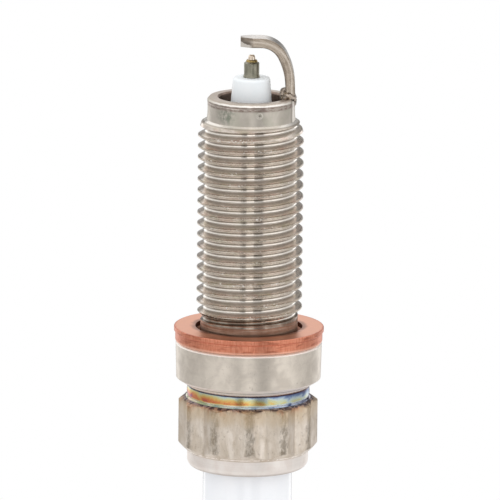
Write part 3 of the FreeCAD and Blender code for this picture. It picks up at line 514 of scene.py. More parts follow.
def nickel_plate(name, light, dark, gloss, lines=(6.0, 0.004), nick_share=0.1,
                 cloud=(1.4, 1.0), line_tone=0.1, nick_depth=0.004):
    """Plating between two tones. lines is (how many per mm, how deep in mm)."""
    material, w, shader, place = new_material(name, metallic=1.0)
    spot = w.group(turner, Place=place)
    tone = w.group(clouds, Place=place, Size_mm=cloud[0], Stretch=cloud[1])["Tone"]
    nick = w.group(nicks, Place=place, Per_mm=NICKS_PER_MM, Share=nick_share)
    per_mm, depth = lines
    rings = w.group(turned, Place=place, Lines_per_mm=per_mm)["Relief"]
    base = w.mix(tone, colour(*dark), colour(*light))
    base = w.paint(base, (BLACK, rings, line_tone))
    base = w.mix(w.both(nick["Mark"], 0.35), base, (0.45, 0.42, 0.38, 1), "MULTIPLY")
    rough = w.add(gloss, w.span(tone, 0.05, -0.03))
    normal = w.bump(rings, depth, normal=w.bump(nick["Relief"], nick_depth))
    w.feed(shader, Base_Color=base, Roughness=rough, Normal=normal)
    return Finish(material, w, shader, place, spot, base, rough, normal)


# %% [markdown]
# ## The nose
# The nose is the smooth end of the shell. Its satin plate carries a thin film in slow
# clouds, and a greenish stain at the left of its front: mottled noise within a circle.
# Places are in millimetres, and `flat` is a point with its depth left out.

# %% Nose: plate, film and stain
STAIN = (-2.7, 0.0, 24.6)
STAIN_RADIUS = 1.4
nose = nickel_plate("nickel_nose", (214, 206, 195), (198, 190, 179), 0.4,
                    lines=(5.0, 0.003), nick_share=0.04, nick_depth=0.02, cloud=(2.4, 1.4))
w = nose.w
x, y, z = w.parts(nose.place)
flat = w.join(x, 0.0, z)
on_front = w.math("LESS_THAN", y, 0.0)
near_stain = w.band(w.distance(flat, STAIN), STAIN_RADIUS, 0.3)
mottled = w.noise(nose.place, 2.1, 3.0, 0.7, upward=0.7)
cloudy = w.noise(nose.place, 0.6, 3.0, 0.6, 0.8, upward=0.8)
painted = w.paint(
    nose.base,
    ((176, 176, 158), w.band(cloudy, 0.46, 0.64), 0.35),
    ((118, 128, 112), on_front, near_stain, w.band(mottled, 0.36, 0.6), 0.75))

# %% [markdown]
# The nose ends in a chamfer. Below it runs a brown band of upset metal with a thin pale
# line in it, and the chamfer's corner carries a painted highlight at the front. None of
# them is straight, because their limits are tested against a height that wanders.

# %% Nose: its edge
CHAMFER = 25.66
uneven = w.noise(nose.place, 1.6, 3.0, 0.7, upward=2.4)
ragged_z = w.add(z, w.span(uneven, -0.14, 0.14))
upset = w.both(w.band(ragged_z, CHAMFER - 0.62, CHAMFER - 0.46),
               w.band(z, CHAMFER + 0.04, CHAMFER - 0.04),
               w.span(w.band(uneven, 0.42, 0.56), 0.95, 0.4))
pale_line = w.both(w.near(ragged_z, CHAMFER - 0.24, 0.05, 0.01),
                   w.span(w.band(x, 2.0, -1.0), 0.15, 0.8))
# painted highlight: the chamfer's corner is painted near white, only at the front
edge_highlight = w.both(w.band(ragged_z, CHAMFER - 0.02, CHAMFER + 0.06),
                     w.band(ragged_z, CHAMFER + 0.24, CHAMFER + 0.14),
                     w.span(w.band(y, -1.0, -4.2), 0.0, 0.8))
painted = w.paint(
    painted,
    ((146, 128, 120), upset),
    ((236, 226, 216), pale_line),
    ((176, 160, 148), w.band(z, CHAMFER + 0.14, CHAMFER + 0.24), 0.6),
    ((252, 247, 242), edge_highlight))

# %% [markdown]
# At the right a shallow step runs up the nose, drawn only in paint: a line of painted
# shade beside a line of painted highlight. There is also one small dent, a relief that is
# a curve of the distance from its centre: a pit, a raised ring round it, and the plain
# wall outside. The pit is painted darker as shade and the ring lighter as a highlight.

# %% Nose: its step and dent
STEP_SIDE = 4.45
DENT = (0.95, 0.0, 24.72)
DENT_RADIUS = 0.38
PLAIN_WALL = (0.5, 0.5, 0.5, 1.0)
dent_profile = [(0.0, 0.0), (0.3, 0.1), (0.5, 0.85), (0.7, 0.9), (0.9, 0.35), (1.0, 0.5)]
from_dent = w.distance(flat, DENT)
dent = w.ramp(w.math("DIVIDE", from_dent, DENT_RADIUS), dent_profile)
pit_shade = w.band(from_dent, 0.2, 0.08)
# painted shade and painted highlight: the step's dark and pale lines, the dent's ring and
# its pit
painted = w.paint(
    painted,
    ((126, 116, 106), on_front, w.near(x, STEP_SIDE, 0.1, 0.03), 0.5),
    ((252, 246, 240), on_front, w.near(x, STEP_SIDE + 0.2, 0.1, 0.03), 0.6),
    ((228, 222, 214), on_front, w.near(from_dent, 0.32, 0.1, 0.03), 0.4),
    ((104, 98, 92), on_front, pit_shade, 0.5))
relief = w.mix(on_front, PLAIN_WALL, dent)
w.feed(nose.shader, Base_Color=painted, Normal=w.bump(relief, 0.05, normal=nose.normal))

# %% [markdown]
# ## The shank
# The shank is the relief between thread and flange. Its turned lines are deep and dark.
# Its foot, next to the copper gasket, is duller and carries a painted copper reflection.

# %% Shank
FOOT_TOP, FOOT_BOTTOM = 0.9, 0.2
shank = nickel_plate("nickel_shank", (202, 190, 176), (150, 134, 120), 0.2,
                     lines=(3.0, 0.06), nick_share=0.02, line_tone=0.55)
w = shank.w
# painted reflection: the foot is tinted copper-brown, as if it mirrored the gasket
copper_reflection_foot = w.band(shank.spot["Height"], FOOT_TOP, FOOT_BOTTOM)
painted = w.paint(shank.base, ((188, 142, 116), copper_reflection_foot, 0.5))
w.feed(shank.shader, Base_Color=painted, Roughness=w.linear(copper_reflection_foot, 0.3, shank.rough))

# %% [markdown]
# ## The rolled thread
# A rolled thread is smooth, with slow rosy and olive tints in its plate. The radius and
# `facing`, the upward part of the normal, tell where on a turn a point lies: the upper
# flank faces up, the underside down, and the root is closest to the axis.

# %% Thread: plate and parts of a turn
THREAD_CREST = 5.875
THREAD_ROOT = 5.105
thread = nickel_plate("nickel_thread", (238, 227, 216), (208, 196, 184), 0.16,
                      lines=(11.0, 0.006), nick_share=0.08, cloud=(0.9, 0.5))
w = thread.w
radius = thread.spot["Radius"]
facing = w.parts(w.node("TexCoord").outputs["Normal"])[2]
rolled = w.times(thread.place, (0.45, 0.45, 1.6))
rosy = w.noise(rolled, 1.0, 2.0)
olive = w.noise(w.vector("ADD", rolled, (7.0, 3.0, 9.0)), 1.3, 2.0)
crest = w.group(worn_rim, Place=thread.place, From_radius=THREAD_CREST, Depth=0.1,
                Share=1.0, Along=5.0, Per_mm=3.4)
# painted shade on the inner upper flank and the underside, painted highlight on the root
shaded_upper_flank = w.both(w.band(radius, THREAD_CREST - 0.05, THREAD_CREST - 0.35),
                     w.band(facing, 0.3, 0.6))
underside_shade = w.both(w.band(facing, -0.35, -0.75),
                   w.band(radius, THREAD_ROOT + 0.4, THREAD_ROOT + 0.27))
root_highlight = w.both(w.band(radius, THREAD_ROOT + 0.22, THREAD_ROOT + 0.06),
              w.band(facing, -0.6, -0.3))

# %% [markdown]
# The crests are worn, and scuffed in places. The upper flank is a little matt and painted
# darker towards the root as shade, the underside near the root carries painted shade, and
# the root a painted highlight. The first turn is dull.

# %% Thread: colours and relief
THREAD_TOP = 23.45
scuffed = w.noise(thread.place, 0.45, 2.0, upward=1.6)
specks = w.noise(thread.place, 4.2, 2.0, 0.7)
scuff = w.both(w.band(scuffed, 0.52, 0.6), w.band(specks, 0.56, 0.66),
               w.band(radius, THREAD_CREST - 0.4, THREAD_CREST - 0.1))
lead = w.band(thread.spot["Height"], THREAD_TOP - 0.32, THREAD_TOP - 0.14)
painted = w.paint(
    thread.base,
    ((212, 180, 166), w.band(rosy, 0.5, 0.64), 0.4),
    ((192, 188, 162), w.band(olive, 0.52, 0.64), 0.5),
    ((196, 183, 169), shaded_upper_flank, 0.55),
    ((196, 182, 164), crest["Mask"], 0.5),
    ((246, 242, 236), scuff),
    ((88, 79, 70), underside_shade, 0.75),
    ((164, 156, 144), lead, 0.85),
    ((246, 240, 232), root_highlight, 0.85))
bare_metal = w.linear(shaded_upper_flank, -0.4, 1.0)
rough = w.linear(crest["Rim"], 0.1, thread.rough)
w.feed(thread.shader, Base_Color=painted,
       Metallic=w.linear(scuff, -0.6, bare_metal, clamp=True),
       Roughness=w.linear(root_highlight, -0.12, rough),
       Normal=w.bump(crest["Mask"], 0.02, normal=thread.normal))

# %% [markdown]
# ## Band, collar and bore
# The band under the gasket is tumbled, and the chamfer at its top carries a painted
# highlight. The collar is the lip that was rolled over on to the insulator: pale, with
# painted shade where it turns in. The bore is hardly seen and needs only a dull plate.

# %% Band, collar and bore
CHAMFER_FOOT = -1.93
LIP_TURN = -15.5
belt = nickel_plate("nickel_band", (232, 222, 209), (212, 202, 190), 0.36,
                    nick_depth=0.03, cloud=(1.6, 1.0))
w = belt.w
# painted highlight on the chamfer at the band's top
bright = w.band(belt.spot["Height"], CHAMFER_FOOT - 0.04, CHAMFER_FOOT + 0.02)
painted = w.paint(belt.base, ((255, 248, 242), bright, 0.8))
w.feed(belt.shader, Base_Color=painted, Metallic=w.linear(bright, -0.4, 1.0))

collar = nickel_plate("nickel_collar", (251, 244, 238), (242, 232, 225), 0.5,
                      nick_share=0.06, nick_depth=0.02, cloud=(1.6, 1.6))
w = collar.w
# painted shade where the collar turns in
turned_in_shade = w.band(collar.spot["Height"], LIP_TURN, LIP_TURN - 0.3)
painted = w.paint(collar.base, ((176, 164, 154), turned_in_shade, 0.6))
w.feed(collar.shader, Base_Color=painted)

bore = nickel_plate("nickel_bore", (176, 156, 144), (124, 106, 94), 0.42)

# %% [markdown]
# ## The bi-hexagon
# The wrench grips twelve corners, one for every 30 degrees. `off_corner` is how far a
# point is from the nearest, as a share of that step. The corners are scraped dark where
# they stand out most, and fine upright streaks lie between them.

# %% Bi-hexagon: plate, streaks and scraped corners
HEXAGON_CORNER = 7.75
CORNER_TURN = math.radians(1.7)
CORNER_STEP = math.radians(30.0)
hexagon = nickel_plate("nickel_hexagon", (240, 229, 217), (214, 200, 183), 0.4,
                       nick_share=0.14, nick_depth=0.03, cloud=(0.9, 2.2))
w = hexagon.w
height = hexagon.spot["Height"]
upright = w.noise(hexagon.place, 2.6, 3.0, 0.6, upward=0.1)
ragged = w.noise(hexagon.place, 1.6, 3.0, 0.7, upward=0.7)
corner = w.group(worn_rim, Place=hexagon.place, From_radius=HEXAGON_CORNER, Depth=0.3,
                 Share=0.75, Along=0.4, Per_mm=4.0)
steps = w.progress(hexagon.spot["Turn"], CORNER_TURN, CORNER_TURN + CORNER_STEP)
off_corner = w.math("ABSOLUTE", w.minus(steps, w.math("ROUND", steps)))
ridge = w.band(w.add(off_corner, w.span(ragged, -0.2, 0.2)), 0.18, 0.02)
scraped = w.both(ridge, w.add(corner["Rim"], corner["Mask"]), 0.5)
streaked = w.paint(
    hexagon.base,
    ((196, 184, 170), w.band(upright, 0.42, 0.66), 0.3),
    ((112, 100, 82), scraped, 0.6))

# %% [markdown]
# The groove next to it was heated, and the heat reached 3 mm into the bi-hexagon. `reach`
# times two noises is the thickness of the oxide film. On top come ember-coloured patches,
# soot, and a burr at the far edge.

# %% Bi-hexagon: heat and burr
HEAT_END, HEAT_START = -11.0, -8.0
BURR = -13.88
reach = w.ramp(w.progress(height, HEAT_END, HEAT_START),
               [(0.0, 0.0), (0.25, 0.03), (0.5, 0.09), (0.74, 0.15), (0.82, 0.17),
                (0.88, 0.2), (0.92, 0.26), (0.96, 0.38), (1.0, 0.5)])
patchy = w.noise(w.times(hexagon.place, (0.55, 0.55, 0.3)), 1.0, 3.0, 0.6)
spotty = w.noise(w.times(hexagon.place, (1.3, 1.3, 0.6)), 1.0, 4.0, 0.7, 0.8)
film = w.both(reach, w.span(patchy, 0.1, 1.7), w.span(spotty, 0.35, 1.65))
tempered = w.group(temper, Film=film, Bare=streaked)["Colour"]
off_burr = w.math("ABSOLUTE", w.minus(height, BURR))
ragged_burr = w.add(off_burr, w.span(ragged, -0.12, 0.12))
burr = w.both(w.band(ragged_burr, 0.1, 0.04), w.band(spotty, 0.42, 0.54))
ember = w.both(w.band(reach, 0.13, 0.2), w.band(reach, 0.4, 0.3), w.band(patchy, 0.5, 0.62))
soot = w.both(w.band(reach, 0.12, 0.36), w.band(spotty, 0.44, 0.56))
painted = w.paint(
    w.mix(0.6, streaked, tempered),
    ((255, 247, 240), burr),
    ((206, 140, 96), ember, 0.4),
    ((56, 46, 56), soot, 0.85))
relief = w.minus(upright, scraped)
w.feed(hexagon.shader, Base_Color=painted, Metallic=w.linear(burr, -0.5, 1.0),
       Roughness=w.linear(scraped, 0.18, hexagon.rough),
       Normal=w.bump(relief, 0.012, normal=hexagon.normal))

# %% [markdown]
# ## The heated groove
# The shell is shrunk on to the insulator by heating this groove, and it shows every
# temper colour. The film's thickness follows a curve of the height, is greatest at the
# left, and is broken by slow waves; pale streaks of painted highlight lie on it. The bevel
# under the band stays bare and matt and is painted light as a highlight, with a dark line
# near its top, a pink one below that, and a line of painted shade under its foot.

# %% Heated groove
GROOVE_BOTTOM, GROOVE_TOP = -8.3, -6.3
BEVEL = -6.59
groove = nickel_plate("heated_groove", (222, 214, 204), (202, 196, 186), 0.22,
                      nick_share=0.02, lines=(3.0, 0.008))
w = groove.w
height = groove.spot["Height"]
waves = w.noise(w.times(groove.place, (0.55, 0.55, 0.7)), 1.0, 3.0, 0.65, 0.8)
side = w.math("SINE", w.minus(groove.spot["Turn"], 0.15))
hottest = w.linear(side, -0.21, 0.92)
up = w.ramp(w.progress(height, GROOVE_BOTTOM, GROOVE_TOP),
            [(0.0, 0.42), (0.06, 0.5), (0.12, 0.6), (0.28, 0.66), (0.37, 0.82),
             (0.5, 0.76), (0.62, 0.68), (0.74, 0.6), (0.8, 0.48), (0.835, 0.42),
             (0.855, 0.0), (1.0, 0.0)])
film = w.both(up, hottest, w.span(waves, 0.7, 1.3))
bevel = w.band(height, BEVEL, BEVEL + 0.04)
# the bevel is painted light as a highlight
bare = w.paint(
    groove.base,
    ((248, 238, 232), bevel),
    ((120, 100, 96), w.near(height, BEVEL + 0.41, 0.07, 0.028), 0.6),
    ((255, 240, 232), w.near(height, BEVEL + 0.17, 0.15, 0.06)))
# pale streaks of painted highlight, and a line of painted shade under the bevel's foot
pale_highlight = w.both(w.near(height, BEVEL - 1.28, 0.22, 0.088), w.band(waves, 0.4, 0.55))
painted = w.paint(
    w.group(temper, Film=film, Bare=bare)["Colour"],
    ((240, 242, 250), pale_highlight, 0.6),
    ((62, 48, 52), w.near(height, BEVEL - 0.1, 0.1, 0.04), 0.8))
w.feed(groove.shader, Base_Color=painted, Metallic=w.linear(bevel, -0.5, 1.0),
       Roughness=w.linear(bevel, 0.25, groove.rough))

# %% [markdown]
# ## Sorting the shell's faces
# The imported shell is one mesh. Each face goes to the region its middle lies in, by height
# and, for the inside, by radius. A finish reaches down to the height beside it, in
# millimetres: a step of the shell, or a hair past it.

# %% Sort the shell's faces
OUTSIDE = [(nose, THREAD_TOP), (thread, 1.46), (shank, -1.66), (belt, -5.8),
           (groove, -8.01), (hexagon, -14.05), (collar, None)]
INSIDE_STATIONS = [-16.0, -15.3, -4.3, 12.4, 26.0]
INSIDE_RADII = [5.2, 5.9, 4.9, 4.6, 4.0]


def face_middles(thing):
    """Middles and normals of the faces of a mesh, middles in mm."""
    faces = thing.data.polygons
    middles, normals = np.empty((2, len(faces) * 3))
    faces.foreach_get("center", middles)
    faces.foreach_get("normal", normals)
    return middles.reshape(-1, 3) / MM, normals.reshape(-1, 3)


def dress(materials, *names, choice=None):
    """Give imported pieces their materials; choice holds one index per face."""
    for name in names:
        mesh = nodes[name].data
        mesh.materials.clear()
        for material in materials:
            mesh.materials.append(material)
        if choice is not None:
            mesh.polygons.foreach_set("material_index", choice.astype(np.int32))
            mesh.update()


middle, normal = face_middles(nodes["metal_shell"])
radius = np.hypot(middle[:, 0], middle[:, 1])
height = middle[:, 2]
outward = (middle[:, 0] * normal[:, 0] + middle[:, 1] * normal[:, 1]) / radius
limits = np.array([bottom for _, bottom in OUTSIDE[:-1]])
region = np.searchsorted(-limits, -height)
inner_wall = np.interp(height, INSIDE_STATIONS, INSIDE_RADII)
region[(radius < inner_wall) & (outward < 0.3)] = len(OUTSIDE)
shell_materials = [finish.material for finish, _ in OUTSIDE] + [bore.material]
dress(shell_materials, "metal_shell", choice=region)
print("faces by region:", {material.name: int((region == index).sum())
                           for index, material in enumerate(shell_materials)})

# %% [markdown]
# ## Copper
# The gasket is soft copper. Its wall carries fine upright marks and a painted highlight
# along its lower edge. The face is flatter and shinier, and painted shade darkens it round
# its hole.

# %% Gasket copper
gasket_low, gasket_high = in_mm(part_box("sealing_gasket"))
GASKET_WALL = gasket_high[0] - 0.15
GASKET_BOTTOM = gasket_low[2]
GASKET_BORE = 5.975
copper, w, shader, place = new_material("gasket_copper", metallic=1.0)
spot = w.group(turner, Place=place)
tone = w.group(clouds, Place=place, Size_mm=1.8, Stretch=1.0)["Tone"]
marks = w.noise(place, 7.0, 3.0, 0.65, upward=0.14)
smudge = w.noise(w.times(place, (0.5, 0.5, 3.0)), 1.0, 3.0, 0.6, 0.6)
wall = w.band(spot["Radius"], GASKET_WALL - 0.12, GASKET_WALL)
# painted highlight along the wall's lower edge
lower_edge_highlight = w.band(spot["Height"], GASKET_BOTTOM + 0.3, GASKET_BOTTOM + 0.1)
from_bore = w.linear(tone, -0.35, spot["Radius"])
# painted shade round the hole, where the gap to the shank is dark
bore_shade = w.band(from_bore, GASKET_BORE + 0.5, GASKET_BORE - 0.12)
face = w.mix(tone, colour(216, 147, 114), colour(226, 164, 133))
side = w.mix(w.band(marks, 0.3, 0.7), colour(204, 122, 94), colour(230, 156, 128))
side = w.paint(side, ((150, 76, 54), w.band(smudge, 0.48, 0.7), 0.6),
               ((250, 196, 170), lower_edge_highlight, 0.7))
base = w.paint(w.mix(wall, face, side), ((112, 62, 38), bore_shade, 0.75))
rough = w.mix(wall, w.span(tone, 0.3, 0.38), w.span(marks, 0.32, 0.44))
w.feed(shader, Base_Color=base, Roughness=rough,
       Normal=w.bump(w.both(wall, marks), 0.008))
dress([copper], "sealing_gasket")

# %% [markdown]
# ## White ceramic
# The insulator is alumina. Behind the shell it is glazed, so dirt wipes off. The firing
# nose can't be glazed, since glaze melts there, so it is matt and faintly blue.

# %% White ceramic
glaze, w, shader, place = new_material("glazed_alumina", metallic=0.0, ior=1.6)
tone = w.group(clouds, Place=place, Size_mm=4.0, Stretch=2.0)["Tone"]
base = w.mix(tone, colour(245, 247, 251), colour(249, 250, 253))
w.feed(shader, Base_Color=base, Roughness=w.span(tone, 0.12, 0.2))

raw, w, shader, place = new_material("unglazed_alumina", metallic=0.0, ior=1.6)
tone = w.group(clouds, Place=place, Size_mm=1.2, Stretch=1.5)["Tone"]
grain = w.noise(place, 22.0, 2.0)
base = w.mix(tone, colour(244, 249, 252), colour(249, 252, 254))
w.feed(shader, Base_Color=base, Roughness=w.span(grain, 0.42, 0.6),
       Normal=w.bump(grain, 0.004))

middle, _ = face_middles(nodes["insulator"])
dress([glaze, raw], "insulator", choice=middle[:, 2] > 0)

# %% [markdown]
# ## Electrode alloys
# Both electrodes start as drawn nickel wire, with streaks along it. The tip and the pad
# are precious metal, and the weld between tip and stem is a darker mix of both.

# %% Drawn wire
def drawn_alloy(name, light, dark, gloss, streaks=9.0, streak_tone=0.25):
    """Drawn wire: fine streaks along the axis, slow change of tone."""
    material, w, shader, place = new_material(name, metallic=1.0)
    tone = w.group(clouds, Place=place, Size_mm=0.8, Stretch=1.6)["Tone"]
    streak = w.noise(place, streaks, 3.0, 0.6, upward=0.13)
    base = w.mix(tone, colour(*dark), colour(*light))
    base = w.paint(base, (BLACK, streak, streak_tone))
    rough = w.add(gloss, w.span(streak, -0.06, 0.08))
    w.feed(shader, Base_Color=base, Roughness=rough,
           Normal=w.bump(streak, streak_tone * 0.04))
    return material


dark_alloy = drawn_alloy("stem_alloy", (166, 162, 146), (132, 130, 114), 0.36,
                         streak_tone=0.08)
precious = drawn_alloy("precious_metal", (252, 240, 224), (232, 206, 178), 0.16)
fused = drawn_alloy("fused_alloy", (206, 176, 112), (142, 124, 82), 0.22)
steel = drawn_alloy("bright_steel", (200, 198, 194), (166, 164, 160), 0.25)
core_copper = drawn_alloy("core_copper", (222, 160, 132), (190, 120, 92), 0.3)
terminal = drawn_alloy("terminal_nickel", (222, 216, 206), (196, 188, 176), 0.2,
                       streaks=5.0)
dress([dark_alloy], "center_electrode")
dress([precious], "center_electrode_tip", "ground_electrode_pad")
dress([fused], "center_tip_weld")
dress([core_copper], "center_electrode_core", "ground_electrode_core")
dress([steel], "lower_packing_ring", "upper_packing_ring", "lower_packing_washer")
dress([terminal], "terminal_nut")

# %% [markdown]
# ## The bent strap
# The ground electrode is bent after drawing, so its streaks follow the bend, which is
# close to a quarter of a circle. `layer` is the distance from the strap's middle line,
# negative on the inside of the bend. It stays the same all the way along a streak.

# %% Strap: layers and streaks
HALF_THICK = 1.08 / 2
BEND_RADIUS = 3.7
strap_low, strap_high = in_mm(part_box("ground_electrode"))
bend_x, _, bend_z = strap_high - HALF_THICK - BEND_RADIUS
strap_alloy, w, shader, place = new_material("strap_alloy", metallic=1.0)
x, y, z = w.parts(place)
past_x = w.math("MAXIMUM", w.minus(x, bend_x), 0.0)
past_z = w.math("MAXIMUM", w.minus(z, bend_z), 0.0)
from_bend = w.vector("LENGTH", w.join(past_x, 0.0, past_z))
layer = w.minus(from_bend, BEND_RADIUS)
drawn = w.vector("ADD", w.times(place, (0.18, 0.0, 0.18)), w.join(layer, y, 0.0))
streaks = w.noise(drawn, 4.2, 3.0, 0.6)
fine = w.noise(drawn, 16.0, 2.0, 0.6)
tone = w.group(clouds, Place=place, Size_mm=1.0, Stretch=1.0)["Tone"]
base = w.mix(tone, colour(196, 184, 170), colour(216, 205, 192))
base = w.paint(base, ((150, 136, 121), w.band(streaks, 0.44, 0.64), 0.5))

# %% [markdown]
# The narrow sides were sheared: they are darker than the flats, with a painted highlight
# near the middle and painted shade on their rounded edges. They draw in where the strap
# narrows to its free end. The outer flat carries a painted highlight.

# %% Strap: sheared sides
TAPER_START = 0.15
TAPER_LOSS = 0.75
into_taper = w.math("MAXIMUM", w.minus(TAPER_START, x), 0.0)
narrowed = w.math("MULTIPLY", into_taper, TAPER_LOSS / (TAPER_START - strap_low[0]))
from_side = w.add(w.minus(w.math("ABSOLUTE", y), strap_high[1]), narrowed)
sheared = w.band(from_side, -0.16, -0.04)
flat = w.minus(1.0, sheared)
rounded_edge_shade = w.band(w.math("ABSOLUTE", layer), HALF_THICK - 0.2, HALF_THICK - 0.04)
base = w.mix(w.both(sheared, 0.8), base, (0.62, 0.59, 0.56, 1), "MULTIPLY")
# painted highlight on the outer flat and near the middle of the sides, painted shade on the
# sides' rounded edges
base = w.paint(
    base,
    ((220, 214, 208), flat, w.band(layer, 0.2, 0.4)),
    ((218, 208, 196), sheared, w.near(layer, 0.12, 0.16, 0.03), 0.45),
    ((108, 96, 84), sheared, rounded_edge_shade, 0.4))

# %% [markdown]
# The shear that cut the free end polished its inner part, and then the metal tore. The
# tear starts along a parabola of the way into the taper, made ragged by a grain. The torn
# part is painted dark: partly torn metal, partly painted shade on the cut.

# %% Strap: cut end
tapered = w.band(into_taper, 0.0, 0.5)
grains = w.noise(place, 5.0, 4.0, 0.7)
tear = w.linear(w.math("POWER", into_taper, 2.0), 0.2, -0.2)
from_tear = w.add(w.minus(layer, tear), w.span(grains, -0.12, 0.12))
polished = w.both(tapered, w.band(from_tear, 0.0, -0.1))
# painted shade on the cut end, partly torn metal
torn_and_shaded = w.both(tapered, w.ramp(w.progress(from_tear, -0.1, 0.9), [
    (0.0, 0.0), (0.08, 1.0), (0.3, 0.9), (0.6, 0.2), (1.0, 0.0)]))
base = w.paint(base, ((222, 216, 208), polished, 0.8), ((96, 88, 80), torn_and_shaded, 0.75))
rough = w.linear(torn_and_shaded, 0.2, w.span(fine, 0.2, 0.32))
normal = w.bump(fine, 0.004, normal=w.bump(streaks, 0.014))
w.feed(shader, Base_Color=base, Roughness=rough,
       Normal=w.bump(torn_and_shaded, 0.04, normal=normal))
dress([strap_alloy], "ground_electrode")

# %% [markdown]
# ## Turning rings into a mesh
# The bead and the stud are closed tubes: rings of points, one after another, with a point
# that closes each end. Numpy makes all the rings as one array, and the faces are one
# little pattern of four numbers shifted along it.

# %% Closed tube
def closed_tube(name, rings, sharp=math.radians(40)):
    """A mesh from rings of points in mm: an array (rings, points per ring, 3)."""
    count, around = rings.shape[:2]
    ends = rings[[0, -1]].mean(axis=1)
    corners = np.vstack([rings.reshape(-1, 3), ends]) * MM
    point = np.arange(around)
    beside = (point + 1) % around
    row = np.arange(count - 1)[:, None] * around
    walls = np.stack([row + point, row + beside, row + around + beside,
                      row + around + point], axis=-1).reshape(-1, 4)
    first = np.stack([beside, point, np.full(around, count * around)], axis=-1)
    last = (count - 1) * around
    final = np.stack([last + point, last + beside,
                      np.full(around, count * around + 1)], axis=-1)
    mesh = bpy.data.meshes.new(name)
    mesh.from_pydata(corners.tolist(), [], walls.tolist() + first.tolist() + final.tolist())
    mesh.shade_smooth()
    mesh.set_sharp_from_angle(angle=sharp)
    print(name, "faces:", len(mesh.polygons))
    return add_object(name, mesh)


def lumps(turns, heights, seed, count=24):
    """Waves added up, each with a whole number of lumps round the piece: about -1 to 1."""
    dice = np.random.default_rng(seed)
    around = dice.integers(1, 8, count)
    upward = dice.uniform(-9, 9, count)
    start = dice.uniform(0, math.tau, count)
    size = 1 / np.sqrt(1 + around + np.abs(upward) / 2)
    phase = (turns[..., None] * around + heights[..., None] * upward + start)
    return (np.cos(phase) * size).sum(axis=-1) / size.sum() * 2.5


# %% [markdown]
# ## Weld bead
# The ground electrode is pressed on to the rim while a current melts both. The metal that
# is squeezed out freezes as a lumpy bead round the foot, and a lip of it hangs over the
# outer edge of the rim. Both are rings whose size follows a formula, plus lumps.

# %% Bead and lip
bead_low, bead_high = in_mm(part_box("ground_electrode_weld"))
SQUARENESS = 0.6
BEAD_LEAN = 0.25
RIM_RADIUS = 4.92
LIP_REACH = 0.27
LIP_DROP = 0.42
turns = np.linspace(0, math.tau, 72, endpoint=False)[None, :]
rise = np.linspace(0, 1, 34)[:, None]


def bead_rings():
    """Rounded-square rings that shrink as they rise, like a drop that set early."""
    middle = (bead_low + bead_high) / 2
    half = (bead_high - bead_low) / 2
    swell = (1 - rise ** 2.2) ** 0.45 + 0.02
    rough = 1 + 0.16 * lumps(turns, rise, seed=11)
    cos, sin = np.cos(turns), np.sin(turns)
    x = np.sign(cos) * np.abs(cos) ** SQUARENESS * half[0]
    y = np.sign(sin) * np.abs(sin) ** SQUARENESS * half[1]
    z = bead_low[2] + rise * 2 * half[2] * (1 + 0.1 * rough)
    return np.stack([middle[0] + x * swell * rough - BEAD_LEAN * rise,
                     middle[1] + y * swell * rough, z], axis=-1)


def lip_rings():
    """A flattened roll carried along the rim's outer edge, thin at both ends."""
    along = np.linspace(-1, 1, 44)[:, None]
    angle = along * LIP_REACH
    thick = np.sqrt(1 - along ** 2) + 0.02
    rough = 1 + 0.3 * lumps(turns, along * 1.5, seed=5)
    outward = RIM_RADIUS - 0.08 + np.cos(turns) * 0.2 * thick * rough
    middle = bead_low[2] - LIP_DROP - 0.12 * lumps(np.zeros((1, 1)), along * 1.5, seed=3)
    z = middle + np.sin(turns) * LIP_DROP * thick * rough
    return np.stack([outward * np.cos(angle), outward * np.sin(angle), z], axis=-1)[:, ::-1]


# %% Weld metal
weld_metal, w, shader, place = new_material("weld_metal", metallic=1.0)
grains = w.noise(place, 3.2, 4.0, 0.65)
scale = w.noise(place, 1.4, 2.0)
base = w.mix(w.band(grains, 0.4, 0.62), colour(92, 80, 70), colour(198, 184, 170))
base = w.paint(base, ((150, 128, 92), w.band(scale, 0.5, 0.7), 0.5))
w.feed(shader, Base_Color=base, Roughness=w.span(grains, 0.42, 0.2),
       Normal=w.bump(grains, 0.08))
bead = closed_tube("weld_bead", bead_rings())
lip = closed_tube("weld_lip", lip_rings())
for thing in (bead, lip):
    thing.data.materials.append(weld_metal)
    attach(thing, "plug")
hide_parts("ground_electrode_weld")

# %% [markdown]
# ## Threaded stud
# The terminal nut screws on to an M4 stud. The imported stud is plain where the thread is,
# so a threaded one takes its place. Its radius goes up and down once for each pitch of
# height, and the turn shifts that, which makes the helix.

# %% Stud
stud_low, stud_high = in_mm(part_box("terminal_stud"))
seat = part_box("insulator")[0].z / MM
COLLAR = 1.1
SHAFT_RADIUS = 1.45
M4_CREST = 1.95
M4_PITCH = 0.7
M4_DEPTH = 0.38


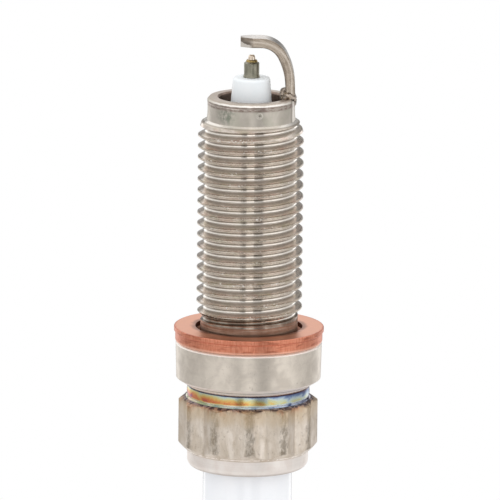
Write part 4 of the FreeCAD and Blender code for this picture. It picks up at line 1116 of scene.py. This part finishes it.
def stud_rings():
    """Rings up the stud: end, M4 thread, collar, shaft, and a blunt end in the glass."""
    thread_start, thread_end = stud_low[2] + 0.25, seat - COLLAR - 0.3
    threaded = np.linspace(thread_start, thread_end, 128)
    heights = np.concatenate([[stud_low[2], stud_low[2] + 0.02], threaded,
                              [seat - COLLAR, seat - COLLAR, seat, seat, stud_high[2]]])
    collar = stud_high[0]
    plain = np.concatenate([[1.5, 1.6], np.full(threaded.size, M4_CREST),
                            [M4_CREST, collar, collar, SHAFT_RADIUS, SHAFT_RADIUS - 0.15]])
    turn = np.linspace(0, math.tau, 64, endpoint=False)[None, :]
    step = heights[:, None] / M4_PITCH - turn / math.tau
    flank = np.abs(2 * (step - np.floor(step)) - 1)
    fade = np.clip(np.minimum(heights - thread_start, thread_end - heights) / 0.5, 0, 1)
    radius = plain[:, None] - M4_DEPTH * fade[:, None] * np.clip(flank * 1.3 - 0.15, 0, 1)
    return np.stack([radius * np.cos(turn), radius * np.sin(turn),
                     np.broadcast_to(heights[:, None], radius.shape)], axis=-1)


stud = closed_tube("threaded_stud", stud_rings())
stud.data.materials.append(steel)
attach(stud, "plug")
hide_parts("terminal_stud")

# %% [markdown]
# ## Powders and glass
# Inside, talc packs the shell, a black mass makes the resistor, and glass seals both its
# ends. All three were pressed from grains.

# %% Powders and glass
def packed_powder(name, light, dark, gloss):
    """Pressed grains: a fine speckle with a soft relief."""
    material, w, shader, place = new_material(name, metallic=0.0)
    grain = w.noise(place, 9.0, 4.0, 0.7)
    base = w.mix(w.band(grain, 0.35, 0.65), colour(*dark), colour(*light))
    w.feed(shader, Base_Color=base, Roughness=w.span(grain, gloss, gloss + 0.15),
           Normal=w.bump(grain, 0.02))
    return material


talc = packed_powder("talc", (226, 226, 218), (204, 203, 194), 0.75)
mass = packed_powder("resistor_mass", (66, 66, 68), (38, 38, 40), 0.6)
glass = packed_powder("seal_glass", (120, 104, 96), (78, 68, 64), 0.25)
dress([talc], "talc_filling")
dress([mass], "suppressor_resistor")
dress([glass], "lower_glass_seal", "upper_glass_seal")
